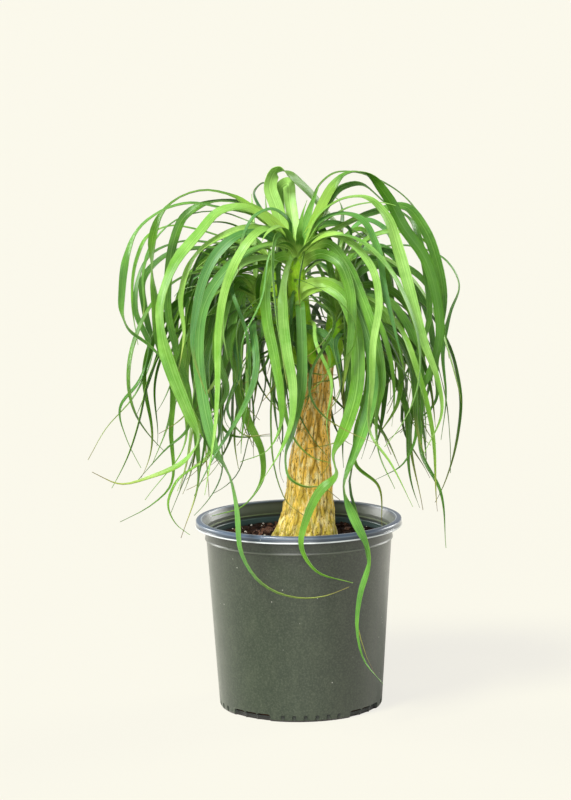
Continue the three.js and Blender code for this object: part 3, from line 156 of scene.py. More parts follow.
# Leaves drawn one by one. Each has its width, its tone if it isn't its shoot's usual one, how
# far its foot, middle and tip stand in front of the trunk, how far the blade is turned at even
# steps along it, and its path in the front view, as across and down.
# A given tone is partly the leaf's own and partly painted shade: leaves that lie in shade, such as the
# outer ones on the left, have darker tones.
DRAWN_LEAVES = {
    "head_front": [
        # the long leaves that hang in front of the pot
        (14, 0.5, (46, 150, 136), (60, 55, 10, 0, 0, 10, 84, 48, 60, 60, 60), (
            (290, 248), (265, 246), (243, 256), (222, 275), (206, 300), (198, 350), (201, 385),
            (207, 420), (216, 450), (231, 478), (236, 498), (238, 520), (241, 550), (258, 580),
            (300, 598), (325, 596), (349, 587))),
        (15, 0.52, (52, 165, 138), (-40, -20, 0, 0, 0, 0, 10, 50, 84, 10, 76, 10, 20, 30, 0), (
            (303, 287), (325, 282), (349, 295), (364, 325), (373, 365), (371, 400), (363, 430),
            (353, 460), (344, 488), (353, 515), (370, 558), (360, 595), (357, 625), (364, 660),
            (383, 684))),
        (17, 0.56, (52, 145, 136), (-30, -10, 0, 0, 0, 20, 86, 10, 0, 30, 60), (
            (304, 292), (322, 285), (340, 294), (353, 320), (358, 355), (356, 392), (343, 435),
            (334, 458), (337, 474), (321, 490), (306, 520), (301, 545), (315, 570), (353, 583))),
        (13, 0.5, (52, 120, 140), (0, 0, 0, 0, 0, 20, 50, 80, 60, 60, 70), (
            (300, 305), (302, 350), (301, 390), (293, 430), (286, 460), (290, 478), (303, 486),
            (322, 487), (340, 500))),
        # left side
        (19, 0.72, (44, 120, 110), (20, 55, 64, 54, 50, 62, 56, 5, 0, 84, 30, 40, 60), (
            (286, 238), (262, 217), (248, 208), (222, 211), (197, 236), (172, 270), (162, 300),
            (162, 335), (172, 372), (188, 412), (199, 440), (188, 458), (150, 477), (120, 484),
            (92, 472))),
        (12, 0.5, (42, 80, 50), (50, 60, 74, 76, 78, 80, 78, 78, 76, 50, 0, 0, 78, 40, 30, 40, 60), (
            (285, 240), (252, 215), (225, 209), (190, 203.5), (160, 212), (140, 228), (127, 256),
            (122, 290), (122, 312), (128, 328), (148, 344), (165, 362), (180, 392))),
        (11, 0.42, (40, 20, 10), (10, 0, 30, 76, 85, 75, 20, 86, 30, 20, 20, 0, 0, 0, 30, 40, 60), (
            (284, 234), (262, 218), (235, 197), (205, 190.5), (165, 209), (153, 236), (152, 262),
            (155, 300), (158, 340), (172, 380), (171, 430), (168, 490), (150, 506), (120, 522))),
        (11, 0.36, (45, 60, 60), (30, 40, 60, 65, 75, 30, 10, 10, 20, 20, 10, 0, 20, 0, 30, 40, 60), (
            (285, 232), (243, 203), (208, 203), (184, 217), (174, 240), (169, 270), (168, 310),
            (178, 355), (190, 400), (188, 428), (165, 450), (138, 480))),
        (6, None, (40, 10, -10), (50, 70, 80, 84, 84, 80, 80, 70, 40, 30, 20, 40, 60), (
            (282, 238), (250, 222), (215, 211.5), (188, 215), (168, 226), (150, 248), (143, 275),
            (144, 310), (135, 345))),
        (10, None, (46, 90, 90), (20, 50, 30, 20, 50, 70, 30, 20, 0, 30, 60), (
            (286, 243), (268, 230), (250, 228), (222, 236), (205, 246), (190, 265), (181, 295),
            (184, 335), (178, 375))),
        (13, None, (47, 115, 120), (10, 20, 30, 50, 20, 10, 0, 0, 20, 30, 60), (
            (286, 248), (262, 234), (238, 236), (218, 252), (205, 275), (196, 310), (193, 350),
            (206, 395))),
        (13, 0.6, (48, 135, 115), (60, 10, 0, 0, 0, 0, 20, 20, 60, 80, 60), (
            (288, 256), (277, 258), (266, 285), (267, 320), (274, 355), (281, 396), (281, 425),
            (268, 450), (240, 462))),
        (13, None, (48, 125, 120), (40, 60, 50, 10, 0, 0, 0, 20, 20, 60, 70), (
            (293, 258), (286, 275), (283, 310), (286, 345), (293, 390), (291, 425), (281, 450),
            (262, 481))),
        (10, None, (50, 105, 90), (40, 60, 50, 30, 10, 0, 0, 0, 40), (
            (284, 262), (262, 258), (240, 265), (226, 288), (222, 325), (228, 360))),
        (6, None, (48, 92, 90), (0, 20, 0), (
            (286, 250), (280, 262), (280, 300), (276, 335), (262, 372))),
        (9, None, (50, 95, 70), (0, 20, 20, 60, 70), (
            (292, 300), (284, 320), (280, 360), (284, 405), (294, 438), (312, 457), (331, 463))),
        # the crown's upright leaves, folded over at the top
        (17, 0.92, (44, 30, -60), (0, 0, 0, 30, 125, 130, 130, 130, 130), (
            (288, 240), (283, 225), (276, 205), (270, 185), (277, 170), (290, 174), (302, 184),
            (314, 196), (326, 211), (339, 226), (350, 250))),
        (15, 0.95, (44, 40, -110), (0, 0, 0, 30, 40), (
            (297, 240), (294, 225), (290, 200), (287, 183), (282, 186), (280, 215), (276, 260))),
        (6, None, (40, 20, -50), (0, 10, 50, 60, 0), (
            (286, 240), (275, 225), (260, 208), (254, 192), (262, 183), (276, 190))),
        (6, None, (47, 80, 90), (0, 50, 60, 30, 20), (
            (291, 240), (287, 218), (272, 209), (255, 216), (242, 240), (238, 275))),
        # right side
        (14, 0.5, (44, 80, 90), (0, 0, -20, -86, -150, -180, -180, -180, -180, -180, -170, -170, -180,
         -170), (
            (305, 242), (313, 225), (322, 205), (334, 185), (349, 173), (363, 173), (388, 198),
            (403, 226), (425, 258), (438, 305), (440, 335), (434, 362), (417, 402), (415, 440),
            (403, 464), (375, 480))),
        (15, 0.85, (46, 125, 110), (-10, -50, -80, -84, -80, -60, -40, -20, 0, 0, 0, 0, -30, -30, -20,
         -30, -40), (
            (306, 236), (325, 210), (345, 198.5), (366, 198), (386, 216), (397, 246), (407, 280),
            (415, 310), (425, 345), (437, 378), (442, 410), (424, 454))),
        (10, 0.34, (42, 0, -20), (0, -40, -70, -80, -82, -82, -82, -82, -82, -78, -50, -20, -20), (
            (303, 240), (306, 225), (311, 205), (320, 185), (335, 173), (352, 172), (378, 180),
            (400, 193), (418, 213), (430, 240), (438, 270))),
        (11, 0.4, (44, 55, 50), (0, -30, -50, -30, -50, -84, -84, -80, -40, -20, 0, 0, 0, 0, -30, -40,
         -60), (
            (306, 240), (318, 222), (342, 188), (358, 184), (386, 204), (412, 222), (421, 248),
            (428, 285), (428, 325), (413, 360), (387, 406))),
        (13, 0.42, (45, 40, 20), (-30, -50, -60, -60, -50, -50, -20, 0, 0, -10, -30, -60, -30, 0, 0,
         -40, -60), (
            (306, 245), (335, 230), (375, 212), (405, 207), (425, 230), (437, 262), (443, 295),
            (440, 330), (436, 365), (436, 400), (400, 433))),
        (10, None, (47, 105, 100), (-20, -40, -60, -70, -40, -30, -30, 0, 0, -20, -50), (
            (306, 240), (322, 220), (340, 214), (360, 218), (376, 245), (385, 290), (396, 335),
            (404, 370))),
        (9, None, (49, 125, 120), (-30, -20, 0, 0, 0, -30, -60, -20, -30), (
            (308, 247), (333, 234), (355, 246), (373, 270), (379, 300), (373, 345), (372, 380),
            (371, 435), (390, 462), (413, 507))),
        (12, None, (51, 130, 125), (-20, -20, 0, 0, 0, -20, -50, -70, -30), (
            (307, 252), (328, 244), (344, 260), (362, 298), (376, 340), (382, 380), (376, 420),
            (378, 450), (395, 489))),
        (13, None, (51, 120, 110), (-20, -10, 0, 0, 20), (
            (304, 262), (322, 254), (338, 262), (348, 283), (352, 315), (349, 350), (341, 400))),
        # small leaves low on the stem, in front of the trunk's top
        (9, None, (36, 56, 48), (-30, 0, 0, 30), (
            (305, 328), (313, 330), (323, 333), (332, 343), (338, 362), (340, 392))),
        (5, None, (36, 60, 40), (0, 60, 60), (
            (298, 325), (297, 350), (303, 369), (318, 374), (337, 375))),
    ],
    "head_left": [
        (14, None, (12, 70, 80), (50, 20, 0, 0, 0, 0, 60), (
            (252, 281), (240, 279), (229, 295), (221, 322), (217, 355), (226, 395), (215, 411),
            (197, 413))),
        (11, None, (10, 50, 60), (0, 0, 10, 20, 60), (
            (250, 284), (243, 288), (236, 305), (231, 330), (225, 362), (196, 410))),
        (12, None, (12, 65, 10), (0, 0, 0, 10, 20, 30, 70, 60), (
            (254, 286), (246, 284), (241, 310), (239, 345), (238, 385), (248, 420), (262, 452),
            (262, 480), (243, 506), (212, 516))),
        (11, None, (10, 40, 50), (20, 0, 0, 30, 60), (
            (248, 290), (236, 296), (222, 318), (210, 350), (202, 395), (206, 440), (222, 468))),
        (10, None, (10, 20, 5), (30, 0, 30, 40, 70), (
            (248, 286), (230, 290), (216, 312), (210, 345), (213, 400), (228, 433), (272, 436))),
        (11, None, (8, 10, -10), (40, 20, 30, 10, 0, 30, 70, 20, 70), (
            (248, 282), (232, 280), (212, 295), (195, 325), (185, 365), (188, 405), (210, 452),
            (175, 484), (168, 505), (176, 524), (190, 535))),
        (10, None, (6, -10, -30), (50, 20, 30, 50, 70), (
            (247, 284), (226, 284), (204, 302), (186, 335), (176, 375), (170, 418), (152, 465))),
        (10, None, (4, -20, -40), (50, 20, 40, 20, 60, 70), (
            (247, 290), (226, 298), (209, 325), (200, 365), (196, 420), (198, 485), (181, 538))),
        (8, None, (12, 42, 60), (0, 0, 30, 60, 60), (
            (250, 294), (240, 304), (234, 335), (240, 370), (228, 412), (245, 435), (270, 434))),
        (7, None, (14, 60, 60), (0, 20, 0), (
            (257, 284), (261, 276), (264, 300), (263, 325), (252, 375))),
    ],
    "head_back_left": [
        (9, None, (-60, -50, -20), (50, 70, 78, 78, 70, 50, 20, 60, 20, 70, 70), (
            (262, 258), (240, 246), (212, 243), (180, 242), (152, 254), (138, 280), (136, 310),
            (150, 350), (140, 380), (120, 408), (127, 440), (141, 468))),
        (9, None, (-60, -80, -60), (50, 60, 60, 50, 20, 10, 60, 70, 78, 70), (
            (262, 262), (235, 252), (200, 248), (165, 256), (143, 280), (145, 310), (152, 350),
            (135, 395), (105, 430), (88, 460))),
        (7, None, (-58, -30, 0), (50, 70, 78, 78, 30, 20, 60), (
            (264, 254), (230, 240), (194, 229), (170, 226), (148, 236), (137, 258), (132, 300),
            (138, 345))),
        (9, None, (-62, -100, -90), (40, 40, 30, 0, 30, 70, 70), (
            (262, 256), (230, 250), (200, 265), (182, 290), (175, 330), (180, 380), (186, 440),
            (145, 500))),
        (8, None, (-62, -120, -110), (40, 20, 10, 30, 60, 70), (
            (263, 264), (245, 264), (225, 282), (212, 310), (208, 350), (212, 400), (196, 450),
            (170, 515))),
    ],
    "head_back_right": [
        (13, None, (-50, -50, -10), (-40, -50, -40, -20, 0), (
            (342, 270), (358, 254), (380, 248), (396, 258), (408, 290), (412, 330))),
        (9, None, (-50, -70, -50), (-40, -60, -20, 0, -20), (
            (342, 276), (365, 270), (392, 268), (412, 288), (420, 330), (416, 380))),
        (9, None, (-52, -60, -50), (-20, -60, -50, -20, 0, 0, -50), (
            (339, 262), (346, 236), (360, 229), (376, 245), (388, 280), (394, 330), (396, 390))),
        (9, None, (-52, -90, -80), (-20, -60, -50, -20, 0, 0, -50), (
            (341, 262), (350, 232), (366, 220), (386, 230), (402, 270), (411, 320), (406, 400))),
        (8, None, (-50, -20, 0), (-50, -70, -80, -80, -78, -80, -60, 0, -30, -50, -70), (
            (343, 268), (362, 254), (390, 246), (420, 248), (445, 260), (459, 285), (450, 312),
            (443, 350), (446, 400), (441, 440))),
        (9, None, (-52, -110, -90), (-40, -30, 0, -20, -50, -70), (
            (343, 272), (365, 262), (395, 270), (420, 296), (432, 335), (431, 375), (420, 412),
            (388, 440))),
    ],
    "head_right": [
        (10, None, (16, 70, 70), (-20, 0, 0, 0, 60, 30, 60), (
            (340, 318), (350, 310), (364, 328), (370, 362), (366, 400), (356, 436), (356, 464),
            (378, 485), (382, 526))),
        (10, None, (16, 30, 30), (-40, 0, 0, 20, 50), (
            (342, 314), (356, 300), (376, 306), (392, 332), (401, 368), (398, 402), (375, 440))),
        (10, None, (14, 20, 10), (-50, -10, 0, 0, -50, -30, -70), (
            (342, 312), (358, 296), (386, 299), (408, 326), (420, 366), (420, 420), (421, 452),
            (440, 490), (446, 548))),
        (10, None, (12, 0, -10), (-50, -20, 0, 0, -40, -70), (
            (341, 310), (352, 290), (379, 285), (405, 302), (420, 338), (419, 382), (410, 425),
            (423, 510))),
        (9, None, (16, 44, 44), (-20, 0, 0, -40, -60), (
            (338, 322), (347, 320), (353, 346), (356, 382), (364, 408), (385, 436), (400, 468))),
        (9, None, (18, 60, 40), (-30, 0, 0, 20, 40), (
            (332, 332), (340, 330), (350, 342), (352, 372), (346, 410), (338, 440))),
    ],
}

# Leaves grown by a rule: how many, where they face, how widely they spread to each side, and
# the lowest place on the stem that bears one.
GROWN_LEAVES = {
    "head_front": dict(count=12, facing=90, spread=125, lowest=0.6),
    "head_left": dict(count=13, facing=170, spread=100, lowest=0.4),
    "head_back_left": dict(count=16, facing=125, spread=115, lowest=0.4),
    "head_back_right": dict(count=17, facing=60, spread=110, lowest=0.4),
    "head_right": dict(count=14, facing=10, spread=75, lowest=0.4),
}
# Ranges for the draws that shape each leaf. Rise is its angle where it leaves the stem.
GROWTH = dict(
    tries=24, low_rise=25, high_rise=80, highest=604, bend=(0.011, 0.02), length=(200, 430),
    width=(7, 13), curl=(-0.0035, 0.0035), sway=(0.002, 0.022), sway_angle=(-160, 160),
    wave=(0.002, 0.014), wave_length=(150, 320), wave_phase=(0, 360), twist=(-80, 80))
AZIMUTH_STRAY = (-22, 22)
PLACE_STRAY = (-0.05, 0.02)
RISE_STRAY = (-14, 8)
HIGHEST_PLACE = 0.96
GROWTH_SEED = 20419
GOLDEN_ANGLE = 137.508
LOWEST_POINT = 236                 # of a grown leaf
REACH = 218                        # of a grown leaf from the plant's middle
MIDDLE_X = -14
BOX_SLACK = 0.5
# Tries for a drawn leaf, moved this far towards or away from the front where it isn't clear.
SWINGS = [0, 9, -9, 18, -18, 27, -27, 36, -36, 48, -48, 60, -60, 75, -75, 90, -90]

# Leaves that only this finer model has: fine drawn ones, short young ones at the middle of
# each crown, and thinner ones among the rest.
FINE_LEAVES = {
    "head_front": [
        (10, None, (45, 47, 42), (0, 0, 20), (
            (301, 244), (306, 222), (312, 203), (320, 184))),
        (9, None, (46, 52, 52), (0, 0, -20), (
            (299, 246), (300, 228), (303, 212), (307, 200))),
        (6, None, (50, 160, 138), (-30, 0, 60, 84, 30, 20, 0), (
            (306, 290), (330, 286), (352, 305), (367, 345), (374, 390), (366, 430), (350, 480),
            (361, 530), (369, 566), (360, 598), (357, 622), (362, 643), (367, 658), (376, 676))),
        (4, None, (50, 70, 50), (0, 30, 0), (
            (294, 292), (291, 340), (294, 380), (303, 400), (310, 394), (319, 392), (326, 397))),
        (3, None, (50, 70, 48), (0, 30, 0), (
            (290, 270), (287, 330), (288, 400), (295, 427), (304, 431), (310, 440))),
        (4, None, (46, 70, 44), (0, 60, 50), (
            (286, 300), (276, 360), (271, 420), (275, 470), (279, 485), (287, 502), (306, 517))),
    ],
    "head_right": [
        (4, None, (20, 50, 46), (0, 40, 50), (
            (338, 326), (346, 350), (344, 372), (334, 379), (320, 382), (306, 386))),
        (4, None, (20, 55, 42), (0, 30, 20), (
            (340, 322), (352, 360), (350, 410), (341, 440), (327, 445), (305, 449))),
    ],
}
YOUNG_LEAVES = {name: dict(count=6, facing=0, spread=180, lowest=0.86) for name in SHOOTS}
YOUNG_GROWTH = dict(
    tries=6, low_rise=45, high_rise=82, highest=630, bend=(0.006, 0.015), length=(80, 160),
    width=(7, 10.5), curl=(-0.003, 0.003), sway=(0, 0.008), sway_angle=(-170, 170),
    wave=(0, 0.006), wave_length=(80, 160), wave_phase=(0, 360), twist=(-40, 40))
THIN_LEAVES = {
    "head_front": dict(count=24, facing=90, spread=175, lowest=0.35),
    "head_left": dict(count=24, facing=190, spread=150, lowest=0.3),
    "head_back_left": dict(count=24, facing=125, spread=150, lowest=0.3),
    "head_back_right": dict(count=24, facing=60, spread=150, lowest=0.3),
    "head_right": dict(count=22, facing=-5, spread=110, lowest=0.3),
}
THIN_GROWTH = dict(
    tries=10, low_rise=5, high_rise=75, highest=600, bend=(0.012, 0.028), length=(120, 310),
    width=(3, 6.5), curl=(-0.013, 0.013), sway=(0.015, 0.07), sway_angle=(-170, 170),
    wave=(0.006, 0.03), wave_length=(90, 220), wave_phase=(0, 360), twist=(-140, 140))

# Usual tone of each shoot's leaves, from dark to pale. The back shoots' darker tones are painted shade,
# for the shade they stand in behind the others.
SHOOT_TONES_AND_SHADE = {
    "head_front": 0.66, "head_left": 0.5, "head_back_left": 0.3, "head_back_right": 0.32,
    "head_right": 0.5,
}


# ---------------------------------------------------------------- camera

def unit(vector):
    return vector / np.linalg.norm(vector)


def view_axes():
    """The front view's own directions: into the view, across it and up it."""
    forward = unit(AIM - EYE)
    right = unit(np.cross(forward, (0, 0, 1)))
    up = np.cross(right, forward)
    across = right * math.cos(ROLL) + up * math.sin(ROLL)
    upward = up * math.cos(ROLL) - right * math.sin(ROLL)
    return forward, across, upward


FORWARD, ACROSS, UPWARD = view_axes()


def add_camera():
    bpy.ops.object.camera_add()
    camera = bpy.context.object
    camera.name = "front_camera"
    axes = Matrix([ACROSS, UPWARD, -FORWARD]).transposed()
    camera.matrix_world = Matrix.Translation(Vector(EYE * MM)) @ axes.to_4x4()
    camera.data.sensor_fit = "VERTICAL"
    camera.data.sensor_height = 36
    camera.data.sensor_width = 36
    camera.data.lens = FOCAL / FRONT_VIEW[1] * camera.data.sensor_height
    camera.data.clip_end = 200
    bpy.context.scene.camera = camera


# ---------------------------------------------------------------- leaf paths

def view_point(across, down, toward):
    """Point that shows there in the front view and lies that far in front of the trunk."""
    ray = (FORWARD + ACROSS * ((across - VIEW_CENTRE[0]) / FOCAL)
           + UPWARD * ((VIEW_CENTRE[1] - down) / FOCAL))
    return EYE + ray * ((-toward - EYE[1]) / ray[1])


def ease(t):
    """Rises from 0 to 1 with a soft start and end."""
    return t * t * (3 - 2 * t)


def three_way(values, t):
    """Value at t on an arch from the first to the third that bends towards the second."""
    a, b, c = values
    return a * (1 - t) * (1 - t) + 2 * b * t * (1 - t) + c * t * t


def evenly(values, t):
    """Value at t among values that stand at even steps from 0 to 1."""
    place = min(t, 1) * (len(values) - 1)
    i = min(math.floor(place), len(values) - 2)
    return values[i] + (values[i + 1] - values[i]) * ease(place - i)


def running_length(points):
    steps = [np.linalg.norm(b - a) for a, b in zip(points, points[1:])]
    return [0, *np.cumsum(steps)]


def smooth_curve(points, count):
    """Smooth curve through points, sampled evenly along its chords."""
    run = running_length(points)
    last = len(points) - 1
    chords = [(points[i + 1] - points[i]) / (run[i + 1] - run[i]) for i in range(last)]
    slopes = [chords[0]]
    for i in range(1, last):
        share = (run[i] - run[i - 1]) / (run[i + 1] - run[i - 1])
        slopes.append(chords[i - 1] * (1 - share) + chords[i] * share)
    slopes.append(chords[-1])
    curve = []
    i = 0
    for k in range(count + 1):
        place = run[last] * k / count
        while i + 1 < last and run[i + 1] < place:
            i += 1
        span = run[i + 1] - run[i]
        t = (place - run[i]) / span
        curve.append(points[i] * (1 - ease(t)) + points[i + 1] * ease(t)
                     + slopes[i] * (span * t * (1 - t) * (1 - t))
                     + slopes[i + 1] * (span * t * t * (t - 1)))
    return curve


def directions(points):
    last = len(points) - 1
    return [unit(points[min(i + 1, last)] - points[max(i - 1, 0)]) for i in range(last + 1)]


def turned(vector, axis, angle):
    """The vector turned about a unit axis, in radians."""
    return (vector * math.cos(angle) + np.cross(axis, vector) * math.sin(angle)
            + axis * (np.dot(axis, vector) * (1 - math.cos(angle))))


def stem_ends(shoot):
    return (np.array(shoot[key], float) for key in ("socket", "bend", "crown"))


def stem_point(shoot, t):
    socket, bend, crown = stem_ends(shoot)
    return socket * (1 - t) ** 2 + bend * (2 * t * (1 - t)) + crown * t ** 2


def stem_direction(shoot, t):
    socket, bend, crown = stem_ends(shoot)
    return unit((bend - socket) * (1 - t) + (crown - bend) * t)


def stem_radius(shoot, t):
    """The stem swells up to its middle and thins again towards its crown."""
    if t < 0.5:
        return STEM_ROOT_RADIUS + (shoot["thick"] - STEM_ROOT_RADIUS) * ease(t / 0.5)
    return shoot["thick"] * (1 + (STEM_CROWN_SHARE - 1) * ease((t - 0.5) / 0.5))


def drawn_blade(shoot, leaf, swing):
    """A drawn leaf: from inside the stem, a little below where it shows, along its arch."""
    wide, tone, reaches, turns, path = leaf
    run = running_length(np.array(path, float))
    lifted = []
    for (across, down), length in zip(path, run):
        t = length / run[-1]
        toward = three_way(reaches, t) + swing * ease(min(t / SWING_SHARE, 1))
        lifted.append(view_point(across, down, toward))
    places = [k / STEM_STEPS for k in range(STEM_STEPS + 1)]
    nearest = min(places, key=lambda t: np.linalg.norm(stem_point(shoot, t) - lifted[0]))
    root = stem_point(shoot, max(nearest - ROOT_DROP, LOWEST_ROOT))
    points = smooth_curve([root, *lifted], LEAF_SAMPLES)
    along = directions(points)
    sides = []
    for i, point in enumerate(points):
        side = unit(np.cross(along[i], point - EYE))
        sides.append(turned(side, along[i], math.radians(evenly(turns, i / LEAF_SAMPLES))))
    return dict(points=points, sides=sides, wide=wide, highest=None, tone=tone)


def grown_blade(shoot, growth):
    """A grown leaf: it leaves the stem at an angle, is pulled over by its own weight and waves
    to and fro, and its limp tip sways to one side."""
    azimuth, rise, sway_angle, wave_phase = (
        math.radians(growth[key]) for key in ("azimuth", "rise", "sway_angle", "wave_phase"))
    forward = stem_direction(shoot, growth["place"])
    outward = np.array([math.cos(azimuth), math.sin(azimuth), 0])
    heading = unit(outward * math.cos(rise) + forward * math.sin(rise))
    step = growth["length"] / LEAF_SAMPLES
    upright = np.array([0, 0, 1.0])
    sway_way = turned(outward, upright, sway_angle)
    sideways = np.cross(upright, outward)
    points = [stem_point(shoot, growth["place"])]
    for i in range(LEAF_SAMPLES):
        limp = ease(max(2 * i / LEAF_SAMPLES - 1, 0))
        points.append(points[i] + heading * step)
        heading = heading - upright * (growth["bend"] * step)
        heading = heading + sway_way * (growth["sway"] * step * limp)
        phase = wave_phase + 2 * math.pi * i * step / growth["wave_length"]
        heading = unit(heading + sideways * (growth["wave"] * step * math.sin(phase)))
        heading = turned(heading, upright, growth["curl"] * step)
    along = directions(points)
    side = sideways
    sides = []
    for i in range(LEAF_SAMPLES + 1):
        side = unit(side - along[i] * np.dot(side, along[i]))
        twist = math.radians(growth["twist"] * i / LEAF_SAMPLES)
        sides.append(turned(side, along[i], twist))
    return dict(points=points, sides=sides, wide=growth["width"], highest=growth["highest"],
                tone=None)


# ---------------------------------------------------------------- stations along a leaf

def blade_share(t):
    """Share of a leaf's full width there. It is widest past its middle and ends in a point."""
    belly = 0.75 + 0.25 * math.sin(math.pi * min(t / 0.9, 1))
    return belly * (1 - t ** 4) ** 1.3


def angle_between(a, b):
    cosine = np.dot(a, b) / math.sqrt(np.dot(a, a) * np.dot(b, b))
    return math.acos(min(max(cosine, -1), 1))


def stations(blade, count=None):
    """Stations along a blade, closer together where it bends or twists. With no count it has
    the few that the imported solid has."""
    along = directions(blade["points"])
    run = running_length(blade["points"])
    turning = [0]
    for i in range(1, len(along)):
        bend = angle_between(along[i], along[i - 1])
        twist = angle_between(blade["sides"][i], blade["sides"][i - 1])
        turning.append(turning[-1] + max(bend, twist))
    if count is None:
        count = LEAST_STATIONS + math.floor(turning[-1] / TURN_PER_STATION + 0.5)
    measure = [length / run[-1] + turn / turning[-1] for length, turn in zip(run, turning)]
    chosen = []
    i = 0
    for k in range(count + 1):
        place = 2 * k / count
        while i + 2 < len(measure) and measure[i + 1] < place:
            i += 1
        share = min((place - measure[i]) / (measure[i + 1] - measure[i]), 1)
        t = (run[i] + (run[i + 1] - run[i]) * share) / run[-1]
        point = blade["points"][i] * (1 - share) + blade["points"][i + 1] * share
        direction = unit(along[i] * (1 - share) + along[i + 1] * share)
        side = blade["sides"][i] * (1 - share) + blade["sides"][i + 1] * share
        side = unit(side - direction * np.dot(side, direction))
        half = 0.5 * blade["wide"] * blade_share(t)
        chosen.append(dict(t=t, point=point, side=side, face=np.cross(direction, side), half=half))
    return chosen


def section(station):
    """Left edge, channel, right edge and keel of a blade there."""
    thick = (BASE_THICKNESS + (TIP_THICKNESS - BASE_THICKNESS) * station["t"]) / 2
    edge = station["face"] * (CHANNEL * station["half"])
    across = station["side"] * station["half"]
    point = station["point"]
    return [point - across + edge, point + station["face"] * thick,
            point + across + edge, point - station["face"] * thick]


# ---------------------------------------------------------------- keeping leaves apart

def box_round(corners, along, side):
    """A box round one stretch: centre, three axes and the half size along each."""
    corners = np.array(corners)
    centre = corners.mean(0)
    across = unit(side - along * np.dot(side, along))
    axes = np.array([along, across, np.cross(along, across)])
    halves = np.abs((corners - centre) @ axes.T).max(0)
    return centre, axes, halves


def blade_boxes(row):
    boxes = []
    for a, b in zip(row, row[1:]):
        corners = section(a) + section(b)
        boxes.append((*box_round(corners, unit(b["point"] - a["point"]), a["side"] + b["side"]), a["t"]))
    return boxes


def column_boxes(centres, radii):
    boxes = []
    for i in range(len(centres) - 1):
        along = unit(centres[i + 1] - centres[i])
        across = unit(np.cross((0, 1, 0), along))
        over = np.cross(along, across)
        corners = [centres[end] + across * (u * radii[end]) + over * (v * radii[end])
                   for end in (i, i + 1) for u in (-1, 1) for v in (-1, 1)]
        boxes.append((*box_round(corners, along, across), 0))
    return boxes


def boxes_meet(a_centres, a_axes, a_halves, b_centres, b_axes, b_halves):
    """For each pair of boxes, whether no direction separates them."""
    between = b_centres - a_centres
    crossed = np.cross(a_axes[:, :, None, :], b_axes[:, None, :, :]).reshape(len(between), 9, 3)
    tests = np.concatenate([a_axes, b_axes, crossed], 1)
    sizes = np.linalg.norm(tests, axis=2, keepdims=True)
    tests = tests / np.maximum(sizes, PARALLEL)
    extents = CLEARANCE
    for axes, halves in ((a_axes, a_halves), (b_axes, b_halves)):
        extents = extents + (np.abs(np.einsum("pkx,ptx->ptk", axes, tests)) * halves[:, None, :]).sum(2)
    apart = np.abs(np.einsum("px,ptx->pt", between, tests)) > extents
    return ~(apart & (sizes[:, :, 0] > PARALLEL)).any(1)


def clear_of_pot(row):
    """Whether a blade passes outside or over the lip, or hangs free in the pot's mouth."""
    for station in row[1:]:
        x, y, z = station["point"]
        radius = math.hypot(x, y)
        outside = radius > LIP_RADIUS + POT_GAP
        above = z > POT_HEIGHT + POT_GAP + 0.3 * station["half"]
        in_mouth = radius < BAND_RADIUS - MOUTH_GAP and z > SOIL_LEVEL + SOIL_GAP
        if not (outside or above or in_mouth):
            return False
    return True


def within_foliage(row, highest):
    """Above the pot, not too high, near the middle, and inside the solids' own box."""
    points = np.array([station["point"] for station in row])
    spread = np.hypot(points[:, 0] - MIDDLE_X, points[:, 1])
    height = points[:, 2]
    level = (height > LOWEST_POINT) & (height < highest)
    above = points > np.array(cad_low) / MM - BOX_SLACK
    below = points < np.array(cad_high) / MM + BOX_SLACK
    return bool(level.all() and (spread < REACH).all() and above.all() and below.all())


class Placer:
    """Remembers a box round each stretch of leaf, stem and trunk, and finds clear blades."""

    def __init__(self):
        self.boxes = []
        self.owners = []
        self.arrays = None
        for name, shoot in SHOOTS.items():
            places = [i / 6 for i in range(7)]
            self.remember(column_boxes([stem_point(shoot, t) for t in places],
                                       [stem_radius(shoot, t) for t in places]), name, True)
        centres = [np.array([x, y, z], float) for z, x, y, _ in TRUNK_SECTIONS]
        self.remember(column_boxes(centres, [row[3] for row in TRUNK_SECTIONS]), "trunk", False)

    def remember(self, boxes, owner, stem):
        self.boxes += boxes
        self.owners += [(owner, stem)] * len(boxes)
        self.arrays = None

    def known(self):
        if self.arrays is None:
            centres, axes, halves, t = (np.array(column) for column in zip(*self.boxes))
            owners = np.array([owner for owner, _ in self.owners])
            stems = np.array([stem for _, stem in self.owners])
            self.arrays = centres, axes, halves, t, owners, stems
        return self.arrays

    def crossings(self, name, boxes):
        """Whether the boxes meet another shoot or the trunk, and whether they meet their own."""
        centres, axes, halves, ts, owners, stems = self.known()
        mine = [np.array(column) for column in zip(*boxes)]
        reach = np.linalg.norm(halves, axis=1)
        my_reach = np.linalg.norm(mine[2], axis=1)
        gaps = np.linalg.norm(mine[0][:, None] - centres[None], axis=2)
        near = gaps <= my_reach[:, None] + reach[None] + CLEARANCE
        same = owners == name
        rooted = (mine[3][:, None] < ROOT_SHARE) | (ts[None] < ROOT_SHARE)
        near &= ~(same[None] & (stems[None] | rooted))
        i, j = np.nonzero(near)
        if len(i) == 0:
            return False, False
        meet = boxes_meet(mine[0][i], mine[1][i], mine[2][i], centres[j], axes[j], halves[j])
        return bool((meet & ~same[j]).any()), bool((meet & same[j]).any())

    def place(self, name, blades):
        """The first blade that hangs clear of everything, or else the first that is clear of
        the other shoots, the trunk and the pot."""
        fallback = None
        chosen = None
        for blade in blades:
            row = stations(blade)
            if not clear_of_pot(row):
                continue
            if blade["highest"] and not within_foliage(row, blade["highest"]):
                continue
            boxes = blade_boxes(row)
            foreign, own = self.crossings(name, boxes)
            if not foreign and not own:
                chosen = blade, boxes
                break
            if not foreign and fallback is None:
                fallback = blade, boxes
        chosen = chosen or fallback
        if chosen is None:
            return None
        self.remember(chosen[1], name, False)
        return chosen[0]


def make_draw(seed):
    """Even draws from a small generator, the same in every language."""
    state = [seed]

    def draw(low, high):
        state[0] = state[0] * 16807 % 2147483647
        return low + (high - low) * state[0] / 2147483647

    return draw


